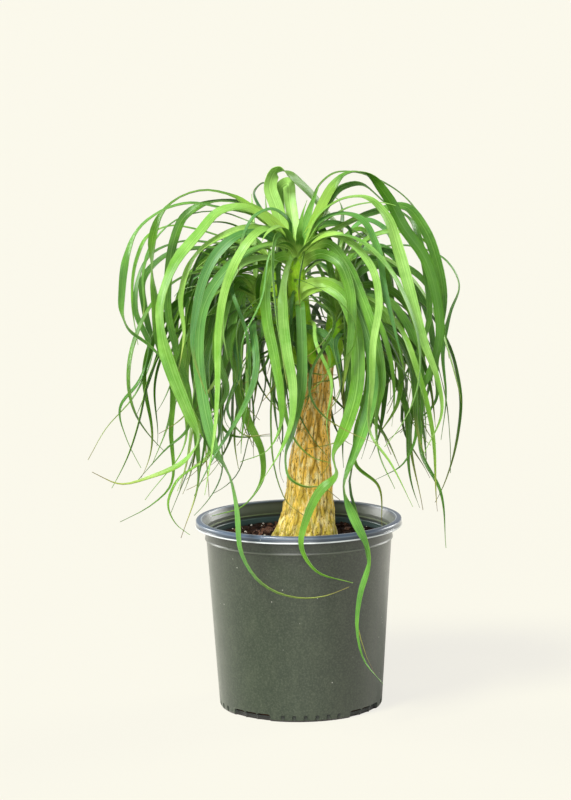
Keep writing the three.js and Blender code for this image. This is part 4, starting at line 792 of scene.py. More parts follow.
def drawn_again(shoot, plan, growth, index, draw):
    """One leaf of a shoot in several tries, each with new draws."""
    turn = (index * GOLDEN_ANGLE % 360) / 180 - 1
    age = (index + 0.5) / plan["count"]
    for _ in range(growth["tries"]):
        azimuth = plan["facing"] + plan["spread"] * turn + draw(*AZIMUTH_STRAY)
        place = plan["lowest"] + (HIGHEST_PLACE - plan["lowest"]) * age + draw(*PLACE_STRAY)
        rise = growth["low_rise"] + (growth["high_rise"] - growth["low_rise"]) * age + draw(*RISE_STRAY)
        own = {key: draw(*growth[key]) for key in (
            "bend", "length", "width", "curl", "sway", "sway_angle", "wave", "wave_length",
            "wave_phase", "twist")}
        yield grown_blade(shoot, dict(own, azimuth=azimuth, place=place, rise=rise,
                                      highest=growth["highest"]))


def all_blades():
    """The blades of each shoot, in the order that they take their room."""
    placer = Placer()
    draw = make_draw(GROWTH_SEED)
    blades = {name: [] for name in SHOOTS}

    def place_drawn(plans):
        for name, leaves in plans.items():
            for leaf in leaves:
                tries = (drawn_blade(SHOOTS[name], leaf, swing) for swing in SWINGS)
                blades[name].append(placer.place(name, tries))

    def place_grown(plans, growth):
        for name, plan in plans.items():
            for index in range(plan["count"]):
                tries = drawn_again(SHOOTS[name], plan, growth, index, draw)
                blades[name].append(placer.place(name, tries))

    place_drawn(DRAWN_LEAVES)
    place_grown(GROWN_LEAVES, GROWTH)
    place_drawn(FINE_LEAVES)
    place_grown(YOUNG_LEAVES, YOUNG_GROWTH)
    place_grown(THIN_LEAVES, THIN_GROWTH)
    return {name: [blade for blade in row if blade] for name, row in blades.items()}


# ---------------------------------------------------------------- modelling by hand

def deselect_all():
    bpy.ops.object.select_all(action="DESELECT")


def select_only(piece):
    deselect_all()
    piece.select_set(True)
    bpy.context.view_layer.objects.active = piece


def apply_place(piece):
    select_only(piece)
    bpy.ops.object.transform_apply(location=True, rotation=True, scale=True)


def apply_modifier(piece, kind, **settings):
    select_only(piece)
    modifier = piece.modifiers.new(kind.lower(), kind)
    for key, value in settings.items():
        setattr(modifier, key, value)
    bpy.ops.object.modifier_apply(modifier=modifier.name)


def turn_faces_out(piece):
    select_only(piece)
    bpy.ops.object.mode_set(mode="EDIT")
    bpy.ops.mesh.select_all(action="SELECT")
    bpy.ops.mesh.normals_make_consistent(inside=False)
    bpy.ops.object.mode_set(mode="OBJECT")


def smooth(piece, degrees):
    select_only(piece)
    bpy.ops.object.shade_smooth_by_angle(angle=math.radians(degrees))


def copy_of(piece):
    twin = piece.copy()
    twin.data = piece.data.copy()
    bpy.context.scene.collection.objects.link(twin)
    return twin


def remove(piece):
    bpy.data.objects.remove(piece, do_unlink=True)


def joined(name, parts):
    deselect_all()
    for part in parts:
        part.select_set(True)
    bpy.context.view_layer.objects.active = parts[0]
    bpy.ops.object.join()
    parts[0].name = name
    return parts[0]


def points_of(piece):
    flat = np.empty(len(piece.data.vertices) * 3, np.float32)
    piece.data.vertices.foreach_get("co", flat)
    return flat.reshape(-1, 3).astype(float)


def lay(piece, points):
    """Moves the mesh's vertices to these points."""
    piece.data.vertices.foreach_set("co", np.asarray(points, np.float32).ravel())
    piece.data.update()


def finished(piece, material, slot, *nodes):
    """Gives a piece its material, lets it ride, and stands it for its nodes. Its slot is not used."""
    piece.data.materials.clear()
    piece.data.materials.append(material)
    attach(piece, "root")
    if nodes:
        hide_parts(*nodes)
    return piece


def rounded(corners, steps=4):
    """Outline through corners given as radius, height and rounding, each rounded by an arc."""
    points = []
    for i, (radius, height, rounding) in enumerate(corners):
        corner = Vector((radius, height))
        if rounding == 0:
            points.append(corner)
            continue
        before = (Vector(corners[i - 1][:2]) - corner).normalized()
        after = (Vector(corners[i + 1][:2]) - corner).normalized()
        reach = rounding / math.tan(before.angle(after) / 2)
        start = corner + before * reach
        end = corner + after * reach
        for k in range(steps + 1):
            t = k / steps
            points.append(start * (1 - t) ** 2 + corner * (2 * t * (1 - t)) + end * t ** 2)
    return points


def ring_body(name, sides, profile):
    """Closed body of rings: a disc extruded and resized along a profile of radii and heights."""
    deselect_all()
    radius, height = profile[0]
    bpy.ops.mesh.primitive_circle_add(
        vertices=sides, radius=radius * MM, fill_type="NGON", location=(0, 0, height * MM))
    body = bpy.context.object
    body.name = name
    apply_place(body)
    bpy.ops.object.mode_set(mode="EDIT")
    bpy.ops.mesh.select_all(action="SELECT")
    for (before, low), (after, high) in zip(profile, profile[1:]):
        bpy.ops.mesh.extrude_region_move(TRANSFORM_OT_translate={"value": (0, 0, (high - low) * MM)})
        grow = after / before
        bpy.ops.transform.resize(value=(grow, grow, 1), center_override=(0, 0, 0))
    bpy.ops.object.mode_set(mode="OBJECT")
    turn_faces_out(body)
    return body


def unit_tube(name, sides, rings):
    """Closed tube of radius 1 from z 0 to 1, to be laid along a stem or trunk."""
    return ring_body(name, sides, [(1 / MM, k / rings / MM) for k in range(rings + 1)])


def unit_strip(name, across, along):
    """Flat strip from -1 to 1 in x and 0 to 1 in y, to be laid along a leaf."""
    deselect_all()
    bpy.ops.mesh.primitive_grid_add(x_subdivisions=across, y_subdivisions=along, size=2)
    strip = bpy.context.object
    strip.name = name
    points = points_of(strip)
    points[:, 1] = (points[:, 1] + 1) / 2
    lay(strip, points)
    return strip


# ---------------------------------------------------------------- materials

def new_material(name):
    """A material with its tree and its main shader."""
    material = bpy.data.materials.new(name)
    material.use_nodes = True
    return material, material.node_tree, material.node_tree.nodes["Principled BSDF"]


def is_socket(value):
    return isinstance(value, bpy.types.NodeSocket)


def fill(node, inputs):
    """Sets a node's inputs. Each is a value, or the socket that feeds it."""
    for key, value in inputs.items():
        if is_socket(value):
            node.id_data.links.new(value, node.inputs[key])
        else:
            node.inputs[key].default_value = value


def add(tree, kind, inputs=None, **settings):
    made = tree.nodes.new("ShaderNode" + kind)
    for key, value in settings.items():
        setattr(made, key, value)
    fill(made, inputs or {})
    return made


def object_place(tree):
    return add(tree, "TexCoord").outputs["Object"]


def leaf_place(tree):
    """How far across and how far along a leaf, from its own UV map."""
    split = add(tree, "SeparateXYZ", {"Vector": add(tree, "TexCoord").outputs["UV"]})
    return split.outputs["X"], split.outputs["Y"]


def stretched(place, *scale):
    """Coordinates in metres, scaled along each axis."""
    return add(place.id_data, "Mapping", {"Vector": place, "Scale": scale}).outputs["Vector"]


def ramp(factor, *stops):
    """Colour ramp with stops given as place and colour."""
    made = add(factor.id_data, "ValToRGB", {"Fac": factor})
    elements = made.color_ramp.elements
    while len(elements) < len(stops):
        elements.new(0.5)
    for element, (place, colour) in zip(elements, stops):
        element.position = place
        element.color = (*colour, 1)
    return made.outputs["Color"]


def grey_ramp(factor, *stops):
    return ramp(factor, *((place, (value,) * 3) for place, value in stops))


def maths(operation, a, b):
    tree = (a if is_socket(a) else b).id_data
    return add(tree, "Math", {0: a, 1: b}, operation=operation).outputs["Value"]


def times(a, b):
    return maths("MULTIPLY", a, b)


def mixed(factor, a, b):
    """Colour a turned into colour b by the factor."""
    made = add(a.id_data, "Mix", data_type="RGBA")
    sockets = {socket.identifier: socket for socket in made.inputs}
    for key, value in (("Factor_Float", factor), ("A_Color", a), ("B_Color", b)):
        if is_socket(value):
            a.id_data.links.new(value, sockets[key])
        else:
            sockets[key].default_value = value if key == "Factor_Float" else (*value, 1)
    return next(socket for socket in made.outputs if socket.identifier == "Result_Color")


def painted(colour, *layers):
    """The colour under layers given as how much of each there is, and its colour."""
    for amount, layer in layers:
        colour = mixed(amount, colour, layer)
    return colour


def noise_at(place, scale, detail=4.0, roughness=0.55):
    inputs = {"Vector": place, "Scale": scale, "Detail": detail, "Roughness": roughness}
    return add(place.id_data, "TexNoise", inputs).outputs["Fac"]


def vein_lines(across, along, count):
    """Noise drawn out along a leaf."""
    veins = add(across.id_data, "CombineXYZ", {"X": times(across, count), "Y": along})
    return noise_at(veins.outputs["Vector"], 1, 2, 0.5)


def bumped(shader, height, distance):
    bump = add(shader.id_data, "Bump", {"Height": height, "Distance": distance})
    fill(shader, {"Normal": bump.outputs["Normal"]})


def pot_plastic():
    """Dark grey-green moulded plastic under a thin gloss, clouded and dusty, with painted light
    and shade: a paler right side and upper wall, painted shade under the lip, at the foot and
    in the drain openings, and painted highlights along the ridge and on the lip. The inside
    attribute is 1 on the faces that look into the pot, which carry painted stripes of light
    and shade."""
    material, tree, shader = new_material("nursery_pot_plastic")
    place = object_place(tree)
    axes = add(tree, "SeparateXYZ", {"Vector": place}).outputs
    # A ramp runs from 0 to 1, which here stands for 250 mm of height and 133 mm of radius.
    height = times(axes["Z"], 4)
    flat = add(tree, "CombineXYZ", {"X": axes["X"], "Y": axes["Y"]}).outputs["Vector"]
    radius = add(tree, "VectorMath", {0: flat}, operation="LENGTH").outputs["Value"]
    reach = times(radius, 7.5)
    across = times(maths("ADD", axes["X"], 0.1), 5)
    inside = add(tree, "Attribute", attribute_name="inside").outputs["Fac"]

    clouds = noise_at(place, 9, 5, 0.6)
    blotches = noise_at(stretched(place, 70, 70, 26), 1, 5, 0.65)
    speckle = noise_at(place, 420, 3, 0.75)
    # Mask of the drain openings, whose inside is painted almost black as shade.
    drain = times(grey_ramp(reach, (0.733, 1), (0.74, 0)), grey_ramp(height, (0.032, 1), (0.038, 0)))
    base = painted(
        ramp(clouds, (0.3, (0.011, 0.021, 0.009)), (0.7, (0.022, 0.036, 0.017))),
        (grey_ramp(blotches, (0.48, 0), (0.72, 0.45)), (0.052, 0.068, 0.038)),
        # painted light: the wall is made paler towards its right side
        (grey_ramp(across, (0.4, 0), (0.9, 0.6)), (0.028, 0.033, 0.025)),
        # painted light: the wall is made paler higher up
        (grey_ramp(height, (0.5, 0), (0.84, 0.5)), (0.028, 0.032, 0.024)),
        (grey_ramp(speckle, (0.46, 0), (0.66, 0.5)), (0.07, 0.086, 0.055)),
        (grey_ramp(speckle, (0.32, 0.5), (0.45, 0)), (0.012, 0.018, 0.012)),
        # painted shade: a darker band on the wall just under the lip
        (grey_ramp(height, (0.862, 0), (0.885, 0.7)), (0.012, 0.014, 0.012)),
        # painted highlight: a thin pale line along the ridge
        (grey_ramp(height, (0.829, 0), (0.832, 0.35), (0.836, 0.35), (0.84, 0)), (0.3, 0.33, 0.26)),
        # painted shade: darker at the very foot of the wall
        (grey_ramp(height, (0.004, 1), (0.01, 0)), (0.014, 0.008, 0.01)),
        # painted shade inside the drain openings
        (drain, (0.006, 0.003, 0.002)))

    # painted highlights on the lip: the whitish stops at the foot of its face and the pale bluish stop
    # are painted highlight lines
    lip = ramp(
        height, (0.8935, (0.58, 0.62, 0.62)), (0.8985, (0.58, 0.62, 0.62)),
        (0.902, (0.03, 0.042, 0.055)), (0.913, (0.035, 0.05, 0.07)), (0.917, (0.12, 0.16, 0.21)),
        (0.922, (0.055, 0.08, 0.12)), (0.928, (0.05, 0.08, 0.125)))
    # painted highlight: a white line along the lip's inner top edge
    crest_highlight = times(grey_ramp(reach, (0.8975, 1), (0.9, 0)), grey_ramp(height, (0.9255, 0), (0.927, 1)))
    on_lip = times(grey_ramp(reach, (0.884, 0), (0.888, 1)), grey_ramp(height, (0.8925, 0), (0.8935, 1)))
    # painted light and shade on the inner wall: stripes by height, with a pale line at the ledge, dark
    # lines under the steps, a teal stripe of painted reflection and a paler stripe near the top
    painted_light_bands = ramp(
        height, (0.805, (0.008, 0.013, 0.011)), (0.822, (0.012, 0.02, 0.018)),
        (0.83, (0.035, 0.075, 0.075)), (0.85, (0.06, 0.11, 0.105)), (0.856, (0.008, 0.014, 0.01)),
        (0.866, (0.012, 0.022, 0.01)), (0.8685, (0.25, 0.33, 0.14)), (0.871, (0.04, 0.05, 0.03)),
        (0.89, (0.065, 0.085, 0.05)), (0.91, (0.13, 0.16, 0.1)), (0.925, (0.06, 0.075, 0.05)))
    banded = times(inside, grey_ramp(reach, (0.892, 1), (0.8965, 0)))
    specks = add(tree, "TexVoronoi", {"Vector": place, "Scale": 240}, feature="F1").outputs
    rare = grey_ramp(specks["Color"], (0.9, 0), (0.93, 1))
    dot = grey_ramp(specks["Distance"], (0, 1), (0.13, 1), (0.22, 0))
    base = painted(
        base, (on_lip, mixed(crest_highlight, lip, (0.6, 0.66, 0.66))), (banded, painted_light_bands),
        (times(times(rare, dot), 0.6), (0.6, 0.6, 0.53)))

    gloss = painted(
        grey_ramp(noise_at(place, 26, 6, 0.7), (0.3, 0.34), (0.75, 0.5)),
        (on_lip, (0.22, 0.22, 0.22)), (banded, (0.6, 0.6, 0.6)))
    fill(shader, {"Base Color": base, "Roughness": gloss, "Specular IOR Level": 0.4,
                  "Coat Weight": 0.4, "Coat Roughness": 0.3})
    grain = noise_at(place, 900, 2, 0.5)
    waves = noise_at(place, 34, 3, 0.5)
    bumped(shader, maths("ADD", grain, times(waves, 3)), 0.0001)
    return material


def potting_soil():
    """Dark reddish brown peat."""
    material, tree, shader = new_material("potting_soil")
    place = object_place(tree)
    colour = ramp(
        noise_at(place, 120, 6, 0.7), (0.3, (0.006, 0.002, 0.001)), (0.5, (0.019, 0.008, 0.004)),
        (0.66, (0.055, 0.023, 0.012)), (0.8, (0.12, 0.058, 0.034)))
    fill(shader, {"Base Color": colour, "Roughness": 0.95, "Specular IOR Level": 0.2})
    bumped(shader, noise_at(place, 420, 6, 0.75), 0.0012)
    return material


def perlite_white():
    """Crumbly white perlite, a little soiled."""
    material, tree, shader = new_material("perlite")
    place = object_place(tree)
    dirt = noise_at(place, 260, 4, 0.6)
    colour = ramp(dirt, (0.35, (0.42, 0.36, 0.27)), (0.55, (0.78, 0.75, 0.68)))
    fill(shader, {"Base Color": colour, "Roughness": 0.9})
    bumped(shader, noise_at(place, 1400, 3, 0.6), 0.0004)
    return material


def bark_chip():
    material, tree, shader = new_material("bark_chips")
    grain = noise_at(stretched(object_place(tree), 900, 160, 500), 1, 5, 0.6)
    colour = ramp(grain, (0.35, (0.035, 0.014, 0.008)), (0.65, (0.2, 0.09, 0.05)))
    fill(shader, {"Base Color": colour, "Roughness": 0.9})
    bumped(shader, grain, 0.0006)
    return material


def corky_bark():
    """Golden cork with brown streaks down its furrows: orange on top, where it ends in a
    grey-green scar, and yellow-olive near the soil. Its brightness up under the leaves is
    partly painted light, against the shadow that they cast."""
    material, tree, shader = new_material("corky_bark")
    place = object_place(tree)
    furrow = add(tree, "Attribute", attribute_name="furrow").outputs["Fac"]
    # A ramp runs from 0 to 1, which here stands for 500 mm of height.
    rise = times(add(tree, "SeparateXYZ", {"Vector": place}).outputs["Z"], 2)
    wrinkles = noise_at(stretched(place, 420, 420, 190), 1, 4, 0.65)
    clouds = noise_at(stretched(place, 60, 60, 26), 1, 6, 0.65)
    pale = noise_at(stretched(place, 190, 190, 42), 1.3, 4, 0.6)
    olive = noise_at(stretched(place, 75, 75, 30), 1.7, 4, 0.6)
    fibres = noise_at(stretched(place, 1500, 1500, 110), 1, 5, 0.6)
    live = grey_ramp(rise, (0.855, 1), (0.87, 0))
    low = grey_ramp(rise, (0.42, 0.8), (0.62, 0))
    # painted light in part: the bark grows brighter up the trunk, where the leaves above shade it
    base = painted(
        ramp(rise, (0.40, (0.64, 0.57, 0.08)), (0.47, (0.86, 0.64, 0.1)), (0.6, (0.98, 0.62, 0.1)),
             (0.75, (1, 0.58, 0.11)), (0.84, (0.9, 0.5, 0.1)), (0.862, (0.45, 0.32, 0.08)),
             (0.872, (0.09, 0.1, 0.055)), (0.9, (0.05, 0.065, 0.04))),
        (times(grey_ramp(clouds, (0.48, 0), (0.72, 0.5)), live), (0.5, 0.25, 0.04)),
        (times(grey_ramp(pale, (0.48, 0), (0.6, 0.95)), live), (1, 0.87, 0.4)),
        (times(low, grey_ramp(olive, (0.48, 0), (0.62, 1))), (0.36, 0.36, 0.045)),
        (times(grey_ramp(fibres, (0.4, 0.4), (0.54, 0)), live), (0.38, 0.2, 0.02)),
        (times(grey_ramp(wrinkles, (0.37, 0.9), (0.44, 0)), live), (0.14, 0.08, 0.003)),
        (times(times(furrow, live), 0.8), (0.12, 0.07, 0.003)))
    fill(shader, {"Base Color": base, "Roughness": 0.8, "Specular IOR Level": 0.12})
    bumped(shader, maths("ADD", fibres, times(wrinkles, 1.6)), 0.0007)
    return material


def leaf_green():
    """Strap leaf: fine parallel veins, a paler foot and edges, some dry tips, light let through.
    The tint attribute holds each leaf's tone, partly painted shade, its painted bluish sheen
    and its dryness, and which side it is; the lower side is painted darker as shade."""
    material, tree, shader = new_material("strap_leaf")
    tint = add(tree, "Attribute", attribute_name="tint").outputs
    tone, sheen_amount, dry = add(tree, "SeparateColor", {"Color": tint["Color"]}).outputs
    under = tint["Alpha"]
    across, along = leaf_place(tree)
    clouds = noise_at(object_place(tree), 28, 4, 0.6)
    shade = maths("ADD", tone, times(maths("SUBTRACT", clouds, 0.5), 0.85))
    # painted reflection: a bluish sheen, weaker on the lower side
    painted_sheen = times(sheen_amount, maths("SUBTRACT", 0.6, times(under, 0.5)))
    lines = vein_lines(across, along, 34)
    middle = maths("ABSOLUTE", maths("SUBTRACT", across, 0.5), 0)
    green = painted(
        ramp(shade, (0, (0.007, 0.034, 0.001)), (0.35, (0.042, 0.145, 0.002)),
             (0.65, (0.145, 0.37, 0.018)), (1, (0.4, 0.69, 0.15))),
        (painted_sheen, (0.12, 0.4, 0.15)),
        (grey_ramp(lines, (0.34, 0.55), (0.5, 0)), (0.03, 0.11, 0.002)),
        (grey_ramp(lines, (0.54, 0), (0.7, 0.5)), (0.5, 0.78, 0.28)),
        (grey_ramp(middle, (0, 0.14), (0.08, 0)), (0.5, 0.75, 0.16)),
        (grey_ramp(middle, (0.46, 0), (0.5, 0.3)), (0.5, 0.7, 0.18)),
        # painted shade: the lower side is made darker
        (times(under, 0.6), (0.024, 0.105, 0.002)),
        (grey_ramp(along, (0, 0.9), (0.05, 0.75), (0.2, 0)), (0.5, 0.78, 0.13)),
        (times(dry, grey_ramp(along, (0.8, 0), (0.97, 1))), (0.4, 0.36, 0.08)),
        (times(dry, grey_ramp(along, (0.955, 0), (0.985, 1))), (0.14, 0.07, 0.03)))
    fill(shader, {"Base Color": green, "Roughness": 0.37, "Specular IOR Level": 0.3,
                  "Specular Tint": (0.8, 1, 0.8, 1)})
    bumped(shader, lines, 0.00012)
    glow = add(tree, "BsdfTranslucent", {"Color": mixed(0.5, green, (0.34, 0.66, 0.02))})
    both = add(tree, "MixShader", {0: 0.25, 1: shader.outputs["BSDF"], 2: glow.outputs["BSDF"]})
    fill(tree.nodes["Material Output"], {"Surface": both.outputs["Shader"]})
    return material


def leaf_base():
    """Lime green leaf bases that wrap the stems, with rusty patches."""
    material, tree, shader = new_material("leaf_bases")
    place = object_place(tree)
    across, along = leaf_place(tree)
    lines = vein_lines(across, along, 40)
    colour = painted(
        ramp(noise_at(place, 60, 4, 0.6), (0.35, (0.17, 0.48, 0.004)), (0.65, (0.46, 0.76, 0.03))),
        (grey_ramp(lines, (0.4, 0.5), (0.52, 0)), (0.14, 0.34, 0.01)),
        (grey_ramp(noise_at(place, 45, 3, 0.6), (0.7, 0), (0.78, 0.6)), (0.42, 0.18, 0.03)))
    fill(shader, {"Base Color": colour, "Roughness": 0.55, "Specular IOR Level": 0.3})
    bumped(shader, lines, 0.0002)
    return material


# ---------------------------------------------------------------- pot

def drain_cutter(kind, angle):
    """Rounded block that cuts a slot or dimple in the wall's foot."""
    deselect_all()
    bpy.ops.mesh.primitive_cube_add(size=1)
    cutter = bpy.context.object
    cutter.scale = (kind["cutter"] * MM, kind["width"] * MM, 2 * kind["height"] * MM)
    bpy.ops.object.transform_apply(scale=True)
    bpy.ops.object.mode_set(mode="EDIT")
    bpy.ops.mesh.select_all(action="SELECT")
    bpy.ops.mesh.bevel(offset=kind["rounding"] * MM, segments=3, affect="EDGES")
    bpy.ops.object.mode_set(mode="OBJECT")
    radius = BASE_RADIUS - kind["depth"] + kind["cutter"] / 2
    cutter.location = (radius * MM * math.cos(angle), radius * MM * math.sin(angle), 0)
    cutter.rotation_euler = Euler((0, 0, angle))
    apply_place(cutter)
    return cutter


def drain_cutters():
    """Three slots that run together in each group, and a row of dimples between the groups."""
    cutters = []
    step = 360 / DRAIN_GROUPS
    for group in range(DRAIN_GROUPS):
        middle = FIRST_DRAIN + group * step
        for kind, centre in ((SLOTS, middle), (DIMPLES, middle + step / 2)):
            for k in range(kind["count"]):
                angle = centre + (k - (kind["count"] - 1) / 2) * kind["pitch"]
                cutters.append(drain_cutter(kind, math.radians(angle)))
    return joined("drain_cutters", cutters)


def mark_inside(pot):
    """Marks the points of the wall that face into the pot: those inside the middle of the wall,
    which flares above the ledge."""
    marks = []
    slope = (LIP_RADIUS - LIP_WIDTH - BAND_RADIUS + 1.3) / FLARE
    for x, y, z in points_of(pot) / MM:
        inner = BAND_RADIUS - 1.2 + slope * max(z - POT_HEIGHT + FLARE, 0)
        if z < RIDGE_Z:
            inner = BASE_RADIUS + (WALL_TOP_RADIUS - BASE_RADIUS) * z / RIDGE_Z - WALL / 2
        marks.append(1.0 if math.hypot(x, y) < inner and z > FLOOR - 0.5 else 0.0)
    pot.data.attributes.new("inside", "FLOAT", "POINT").data.foreach_set("value", marks)


def make_pot():
    top = POT_HEIGHT
    wall_top = WALL_TOP_RADIUS
    profile = rounded([
        # under the base and up the outside of the wall
        (60, 0, 0), (BASE_RADIUS - 1.2, 0, 0.8), (BASE_RADIUS + 0.1, 2.2, 1.2),
        # ridge and band
        (wall_top, RIDGE_Z - 1.2, 0.6), (BAND_RADIUS + 0.8, RIDGE_Z, 0.5),
        (BAND_RADIUS, RIDGE_Z + 2.4, 0.6), (BAND_RADIUS, top - FLARE, 1.5),
        # out to the lip, round it and back into the mouth
        (BAND_RADIUS + 5.2, top - 3.7, 1.2), (LIP_RADIUS - 2.3, top - 3.8, 0.6),
        (LIP_RADIUS - 2.3, top - LIP_DROP, 0.5), (LIP_RADIUS, top - LIP_DROP, 0.7),
        (LIP_RADIUS - 0.9, top - 5.2, 1.5), (LIP_RADIUS - 1, top, 2.4),
        (LIP_RADIUS - LIP_WIDTH + 0.2, top, 1.4), (BAND_RADIUS - 1.3, top - FLARE, 1.5),
        # ledge with a bead under it
        (BAND_RADIUS - 1.8, LEDGE_Z, 0.6), (wall_top - 2.4, LEDGE_Z - 0.5, 0.6),
        (wall_top - 2.5, LEDGE_Z - 4, 0.3), (wall_top - 3.1, LEDGE_Z - 4.8, 0.3),
        (wall_top - 2.5, LEDGE_Z - 7, 0.5),
        # down the inside and over the floor
        (wall_top - WALL - 0.3, RIDGE_Z - 4, 1.5), (BASE_RADIUS - WALL, FLOOR + 1.5, 1.2),
        (60, FLOOR, 0)])
    pot = ring_body("nursery_pot", POT_SIDES, profile)
    cutters = drain_cutters()
    apply_modifier(
        pot, "BOOLEAN", operation="DIFFERENCE", object=cutters, solver="EXACT", use_self=True)
    remove(cutters)
    mark_inside(pot)
    smooth(pot, 32)
    return finished(pot, pot_plastic(), "pot_plastic", "pot")


# ---------------------------------------------------------------- soil

def soil_height(x, y):
    ripple = (0.5 * math.sin(0.11 * x + 0.7) * math.cos(0.13 * y)
              + 0.3 * math.sin(0.23 * x - 0.19 * y) + 0.2 * math.cos(0.37 * x + 0.31 * y))
    from_trunk = math.hypot(x - FOOT_X, y)
    return SOIL_LEVEL + SOIL_RELIEF * ripple + SOIL_MOUND * math.exp(-(from_trunk / MOUND_REACH) ** 2)


def crumbs_at(x, y):
    """Fine relief of peat crumbs, in millimetres."""
    return sum(height * noise.noise(Vector((x / size, y / size, shift)))
               for size, shift, height in CRUMB_RELIEF)


def wall_radius(z):
    """Radius of the soil where it meets the wall."""
    slope = (WALL_TOP_RADIUS - BASE_RADIUS) / RIDGE_Z
    return BASE_RADIUS + slope * z - WALL - 0.65


def make_soil():
    edge = wall_radius(SOIL_LEVEL - SOIL_RELIEF)
    profile = [(80, FLOOR + 0.3), (wall_radius(4) - 2, FLOOR + 0.3), (wall_radius(12), 12)]
    profile += [(edge * k / SOIL_RINGS, SOIL_LEVEL) for k in range(SOIL_RINGS, 0, -1)]
    soil = ring_body("potting_soil", SOIL_SIDES, profile)
    apply_modifier(soil, "SUBSURF", levels=1, render_levels=1, subdivision_type="SIMPLE")
    points = points_of(soil)
    for point in points:
        if point[2] > (SOIL_LEVEL - 1) * MM:
            x, y = point[0] / MM, point[1] / MM
            point[2] = (soil_height(x, y) + crumbs_at(x, y)) * MM
    lay(soil, points)
    smooth(soil, 60)
    return finished(soil, potting_soil(), "soil", "soil")


def crumb(name, seed):
    """Small lump with a rough outline."""
    deselect_all()
    bpy.ops.mesh.primitive_cube_add(size=1)
    lump = bpy.context.object
    lump.name = name
    bpy.ops.object.mode_set(mode="EDIT")
    bpy.ops.mesh.select_all(action="SELECT")
    bpy.ops.mesh.subdivide(number_cuts=1, smoothness=1)
    bpy.ops.transform.vertex_random(offset=0.09, uniform=1, normal=0.5, seed=seed)
    bpy.ops.object.mode_set(mode="OBJECT")
    return lump


def scattered(name, lumps, count, sizes, flatness, sink, draw, material):
    """Copies of a few lumps lying on the soil between the trunk and the wall."""
    parts = []
    while len(parts) < count:
        angle = draw.uniform(0, 2 * math.pi)
        radius = math.sqrt(draw.uniform(0, 1)) * (wall_radius(SOIL_LEVEL) - 3)
        x, y = radius * math.cos(angle), radius * math.sin(angle)
        size = draw.uniform(*sizes) * draw.uniform(0.7, 1)
        turn = Euler([draw.uniform(0, 2 * math.pi) for _ in range(3)])
        stretch = [draw.uniform(0.7, 1.3) for _ in range(2)]
        if math.hypot(x - FOOT_X, y) < FOOT_RADIUS + 1:
            continue
        part = copy_of(lumps[len(parts) % len(lumps)])
        part.scale = (size * stretch[0] * MM, size * stretch[1] * MM, size * flatness * MM)
        lift = size * flatness * (0.5 - sink)
        part.location = (x * MM, y * MM, (soil_height(x, y) + crumbs_at(x, y) + lift) * MM)
        tilt = 1 if flatness > 0.5 else 0.12
        part.rotation_euler = (turn.x * tilt, turn.y * tilt, turn.z)
        parts.append(part)
    for lump in lumps:
        remove(lump)
    heap = joined(name, parts)
    apply_place(heap)
    smooth(heap, 50)
    return finished(heap, material, "soil")


def make_soil_bits():
    """Each kind has its count, its sizes, how flat it is and how far it is sunk in."""
    draw = random.Random(311)
    for name, first_seed, count, sizes, flatness, sink, material in (
            ("perlite_grains", 0, 100, (1.0, 2.5), 0.8, 0.3, perlite_white),
            ("peat_crumbs", 10, 420, (1.6, 5.0), 0.75, 0.35, potting_soil),
            ("bark_chips", 20, 110, (3, 8), 0.28, 0.1, bark_chip)):
        lumps = [crumb(f"{name}_{k}", first_seed + k) for k in range(3)]
        scattered(name, lumps, count, sizes, flatness, sink, draw, material())


# ---------------------------------------------------------------- trunk

def trunk_at(z):
    """Centre and radius of the trunk there, on a smooth curve through its sections."""
    i = 0
    while i + 2 < len(TRUNK_SECTIONS) and TRUNK_SECTIONS[i + 1][0] < z:
        i += 1
    rows = [TRUNK_SECTIONS[min(max(i + k, 0), len(TRUNK_SECTIONS) - 1)] for k in (-1, 0, 1, 2)]
    t = (z - rows[1][0]) / (rows[2][0] - rows[1][0])
    values = []
    for k in (1, 2, 3):
        before, start, end, after = (row[k] for row in rows)
        straight = start + (end - start) * t
        bow = (t * (1 - t) / 4) * ((start - before) - (after - end)) * 0.5
        values.append(straight + bow)
    return values


def bark_swell(angle, z):
    return RIDGE_SHARE * (0.6 * math.sin(5 * angle + 0.018 * z)
                          + 0.4 * math.sin(9 * angle - 0.031 * z + 1.3))


def bark_relief(angle, z, radius):
    """How far the cork stands out there, in millimetres, and how deep in a furrow it is."""
    x, y = radius * math.cos(angle), radius * math.sin(angle)

    def wander(width, length, offset):
        return noise.noise(Vector((x / width, y / width, z / length + offset)))

    def furrows(rule):
        *size, width = rule
        return max(0.0, 1 - abs(wander(*size)) / width)

    main = furrows(MAIN_FURROWS)
    side = furrows(SIDE_FURROWS)
    depth = 0.5 + 0.9 * wander(16, 34, 5)
    furrow = min(max(main * (0.35 + depth) + side * (0.75 - depth), 0), 1)
    relief = sum(height * wander(*size) for *size, height in CORK_RELIEF)
    return relief - FURROW_DEPTH * furrow, furrow


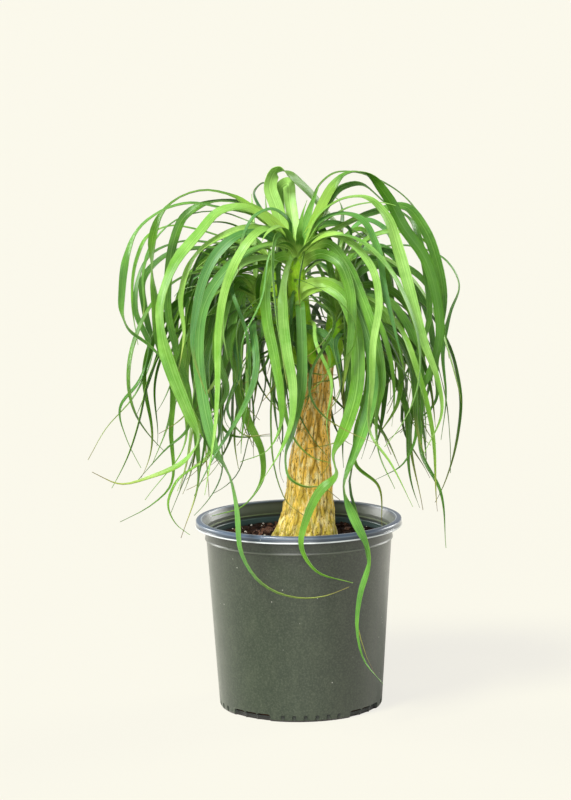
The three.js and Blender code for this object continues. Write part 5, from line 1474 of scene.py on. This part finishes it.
def make_trunk():
    low, high = TRUNK_SECTIONS[0][0], TRUNK_SECTIONS[-1][0]
    trunk = unit_tube("corky_trunk", sides=44, rings=76)
    apply_modifier(trunk, "SUBSURF", levels=2, render_levels=2)
    points = points_of(trunk)
    furrows = []
    for point in points:
        share = math.hypot(point[0], point[1])
        height = low + (high - low) * min(max(point[2], 0), 1)
        angle = math.atan2(point[1], point[0])
        x, y, radius = trunk_at(height)
        relief, furrow = bark_relief(angle, height, radius)
        full = share > 0.8
        r = radius * share * (1 + bark_swell(angle, height)) + (relief if full else 0)
        dome = TRUNK_TOP_RISE * (1 - share) if point[2] > 0.5 else 0
        point[:] = ((x + r * math.cos(angle)) * MM, (y + r * math.sin(angle)) * MM,
                    (height + dome) * MM)
        furrows.append(furrow if full else 0)
    lay(trunk, points)
    stain = trunk.data.attributes.new("furrow", "FLOAT", "POINT")
    stain.data.foreach_set("value", furrows)
    smooth(trunk, 70)
    return finished(trunk, corky_bark(), "bark", "trunk")


# ---------------------------------------------------------------- stems and leaf bases

def stem_frame(shoot, t):
    """Centre of the stem there, and the two directions across it."""
    forward = stem_direction(shoot, t)
    across = unit(np.cross((0, 1, 0), forward))
    return stem_point(shoot, t), across, np.cross(forward, across)


def make_stem(name, shoot, material):
    """A stem that tapers into a bud where its crown's leaves leave it."""
    stem = unit_tube(name + "_stem", sides=24, rings=24)
    points = points_of(stem)
    for point in points:
        t = min(max(point[2], 0), 1)
        centre, across, over = stem_frame(shoot, t)
        taper = 1 - 0.75 * ease(max(0, (t - 0.7) / 0.3))
        bud = max(0, (t - 0.94) / 0.06)
        radius = stem_radius(shoot, t) * taper * (math.sqrt(max(0, 1 - bud * bud)) + 0.05)
        point[:] = (centre + across * (point[0] * radius) + over * (point[1] * radius)) * MM
    lay(stem, points)
    turn_faces_out(stem)
    smooth(stem, 50)
    return finished(stem, material, "leaf")


def make_leaf_bases(name, shoot, draw, material):
    """Pointed sheaths that overlap up the stem and hug it, each a little outside the last."""
    strip = unit_strip("sheath", 6, 8)
    shape = points_of(strip)
    lowest, room = SHEATH_PLACES
    parts = []
    for k in range(SHEATHS):
        low = lowest + room * k / SHEATHS
        length = draw.uniform(*SHEATH_LENGTH)
        facing = math.radians(k * GOLDEN_ANGLE + draw.uniform(-15, 15))
        part = copy_of(strip)
        points = []
        for a, v, _ in shape:
            t = min(low + length * v, 1)
            centre, across, over = stem_frame(shoot, t)
            spread = math.radians(SHEATH_SPREAD) * (1 - v ** 1.6) + 0.04
            angle = facing + a * spread
            radius = stem_radius(shoot, t) + 0.35 + 0.7 * v * v + 0.25 * (1 - abs(a))
            ray = across * math.cos(angle) + over * math.sin(angle)
            points.append((centre + ray * radius) * MM)
        lay(part, points)
        parts.append(part)
    remove(strip)
    bases = joined(name + "_leaf_bases", parts)
    apply_modifier(bases, "SOLIDIFY", thickness=FINE_THICKNESS * MM, offset=0)
    turn_faces_out(bases)
    smooth(bases, 60)
    return finished(bases, material, "leaf")


# ---------------------------------------------------------------- leaves

def finer(blade, count):
    """The same blade with more points along it."""
    points = smooth_curve(blade["points"], count)
    sides = []
    for k in range(count + 1):
        place = k / count * LEAF_SAMPLES
        i = min(math.floor(place), LEAF_SAMPLES - 1)
        sides.append(unit(blade["sides"][i] * (i + 1 - place) + blade["sides"][i + 1] * (place - i)))
    return dict(blade, points=points, sides=sides)


def leaf_surface(shape, blade, count, wave, phase):
    """Points of a flat strip laid along a blade's arch, channelled, with clasping foot."""
    row = stations(finer(blade, 3 * LEAF_SAMPLES), count)
    length = running_length(blade["points"])[-1]
    surface = []
    for a, v, _ in shape:
        station = row[min(math.floor(v * count + 0.5), count)]
        t = station["t"]
        foot = math.exp(-t * length / FOOT_REACH)
        half = max(station["half"], 0.15) * (1 + 0.5 * foot)
        channel = (CHANNEL + 0.4 * foot) * half * a * a
        ripple = wave * half * a * abs(a) * math.sin(phase + t * length / RIPPLE_LENGTH + 1.3 * a)
        surface.append(station["point"] + station["side"] * (half * a)
                       + station["face"] * (channel + ripple))
    return np.array(surface) * MM


def tint_leaf(leaf, tint):
    layer = leaf.data.attributes.new("tint", "FLOAT_COLOR", "POINT")
    layer.data.foreach_set("color", list(tint) * len(leaf.data.vertices))


def mark_upper_side(leaves, count):
    """Thickening keeps the first points for the lower side and adds as many for the upper."""
    layer = leaves.data.attributes["tint"]
    for point in layer.data[count:]:
        point.color[3] = 0


def is_thin(blade):
    return blade["wide"] < THIN_GROWTH["width"][1]


def leaf_tint(blade, shoot_tone, draw):
    """Tone, painted bluish sheen and dryness of one leaf: young ones pale, thin old ones dark and
    dry. The shoot's usual tone holds painted shade.
    """
    young = blade["highest"] == YOUNG_GROWTH["highest"]
    usual = shoot_tone + (-0.3 if is_thin(blade) else 0.2 if young else 0)
    tone = min(max(draw.gauss(usual, 0.18), 0), 1)
    if blade["tone"] is not None:
        tone = blade["tone"]
    # how much painted bluish sheen the leaf shows
    sheen_amount = min(max(0, draw.gauss(0.1, 0.25)), 0.8)
    dry_share = 0.7 if is_thin(blade) else 0.35
    dry = draw.uniform(0.3, 1) if draw.random() < dry_share and not young else 0
    return tone, sheen_amount, dry, 1


def make_leaves(name, blades, draw, material):
    """All the leaves of a shoot. The thin ones are laid from a coarser strip."""
    strips = {kind: unit_strip(kind + "_leaf", *faces) for kind, faces in LEAF_FACES.items()}
    parts = []
    for blade in blades:
        kind = "thin" if is_thin(blade) else "broad"
        leaf = copy_of(strips[kind])
        wave, phase = draw.uniform(0.02, 0.12), draw.uniform(0, 6)
        lay(leaf, leaf_surface(points_of(leaf), blade, LEAF_FACES[kind][1], wave, phase))
        tint_leaf(leaf, leaf_tint(blade, SHOOT_TONES_AND_SHADE[name], draw))
        parts.append(leaf)
    for strip in strips.values():
        remove(strip)
    leaves = joined(name + "_leaves", parts)
    count = len(leaves.data.vertices)
    apply_modifier(leaves, "SOLIDIFY", thickness=FINE_THICKNESS * MM, offset=0)
    mark_upper_side(leaves, count)
    smooth(leaves, 60)
    return finished(leaves, material, "leaf", name)


def make_shoots():
    draw = random.Random(77)
    green = leaf_green()
    pale = leaf_base()
    for name, blades in all_blades().items():
        make_leaves(name, blades, draw, green)
        make_stem(name, SHOOTS[name], pale)
        make_leaf_bases(name, SHOOTS[name], draw, pale)


# ---------------------------------------------------------------- studio

BACKGROUND = np.array([0.966, 0.947, 0.839])
# Each light: azimuth from the front towards the right, elevation, watts per square metre on a
# surface that faces it, softness in degrees, and colour.
SUNS = {
    "key": (-42, 56, 5.4, 16, (1, 0.985, 0.95)),
    "front": (-6, 14, 2.2, 40, (1, 0.99, 0.97)),
    "right_rim": (124, 15, 2.2, 30, (1, 1, 0.97)),
    "left_rim": (-118, 15, 2.2, 30, (1, 1, 0.97)),
}
AIR_LIGHT = 0.1                    # soft light from all round
AIR_GLOSS = 0.5                    # how bright the air shows in glossy surfaces
FLOOR_ALBEDO = np.array([0.078, 0.078, 0.048])
FLOOR_PALE = (0.26, 0.255, 0.235)
FLOOR_MIRRORED = (0.6, 0.59, 0.54)


def add_sun(name, azimuth, elevation, light, softness, colour):
    """Wide soft sun. Gives the light that it throws on the floor."""
    a, e = math.radians(azimuth), math.radians(elevation)
    bpy.ops.object.light_add(type="SUN", location=(0, 0, 3))
    sun = bpy.context.object
    sun.name = name
    sun.data.energy = light
    sun.data.angle = math.radians(softness)
    sun.data.color = colour
    away = Vector((math.sin(a) * math.cos(e), -math.cos(a) * math.cos(e), math.sin(e)))
    sun.rotation_euler = away.to_track_quat("Z", "Y").to_euler()
    return light * math.sin(e)


def make_lights():
    return sum(add_sun(name, *settings) for name, settings in SUNS.items())


def by_ray(tree, kind, usual, special):
    """One shader for rays of that kind, and another for all the rest."""
    ray = add(tree, "LightPath").outputs[kind]
    return add(tree, "MixShader", {0: ray, 1: usual, 2: special}).outputs["Shader"]


def air(tree, colour, strength):
    return add(tree, "Background", {"Color": (*colour, 1), "Strength": strength}).outputs["Background"]


def matte(tree, colour):
    return add(tree, "BsdfDiffuse", {"Color": (*colour, 1)}).outputs["BSDF"]


def make_world():
    """Pale studio air: the background's own colour to the eye, and dimmer as light."""
    world = bpy.data.worlds.new("studio")
    bpy.context.scene.world = world
    world.use_nodes = True
    tree = world.node_tree
    tree.nodes.remove(tree.nodes["Background"])
    soft = air(tree, (0.96, 0.98, 1), AIR_LIGHT)
    gloss = air(tree, (0.97, 0.985, 1), AIR_GLOSS)
    lit = by_ray(tree, "Is Glossy Ray", soft, gloss)
    both = by_ray(tree, "Is Camera Ray", lit, air(tree, BACKGROUND, 1))
    fill(tree.nodes["World Output"], {"Surface": both})


def make_floor(light):
    """Wide pale floor. To the eye it glows so that, with the studio's light on it, it has the
    background's colour, and only a faint shadow shows. To the light it is a plain matte floor,
    which glossy surfaces see brighter."""
    deselect_all()
    bpy.ops.mesh.primitive_plane_add(size=400)
    floor = bpy.context.object
    floor.name = "studio_floor"
    material, tree, shader = new_material("studio_floor")
    tree.nodes.remove(shader)
    thrown_back = FLOOR_ALBEDO * (light / math.pi + AIR_LIGHT)
    glow = add(tree, "Emission", {"Color": (*(BACKGROUND - thrown_back), 1)}).outputs["Emission"]
    seen = add(tree, "AddShader", {0: glow, 1: matte(tree, FLOOR_ALBEDO)}).outputs["Shader"]
    unseen = by_ray(tree, "Is Glossy Ray", matte(tree, FLOOR_PALE), matte(tree, FLOOR_MIRRORED))
    both = by_ray(tree, "Is Camera Ray", unseen, seen)
    fill(tree.nodes["Material Output"], {"Surface": both})
    floor.data.materials.append(material)


# ---------------------------------------------------------------- the scene

bpy.context.scene.view_settings.view_transform = "Standard"
add_camera()
make_pot()
make_soil()
make_soil_bits()
make_trunk()
make_shoots()
make_world()
make_floor(make_lights())

bpy.context.view_layer.update()
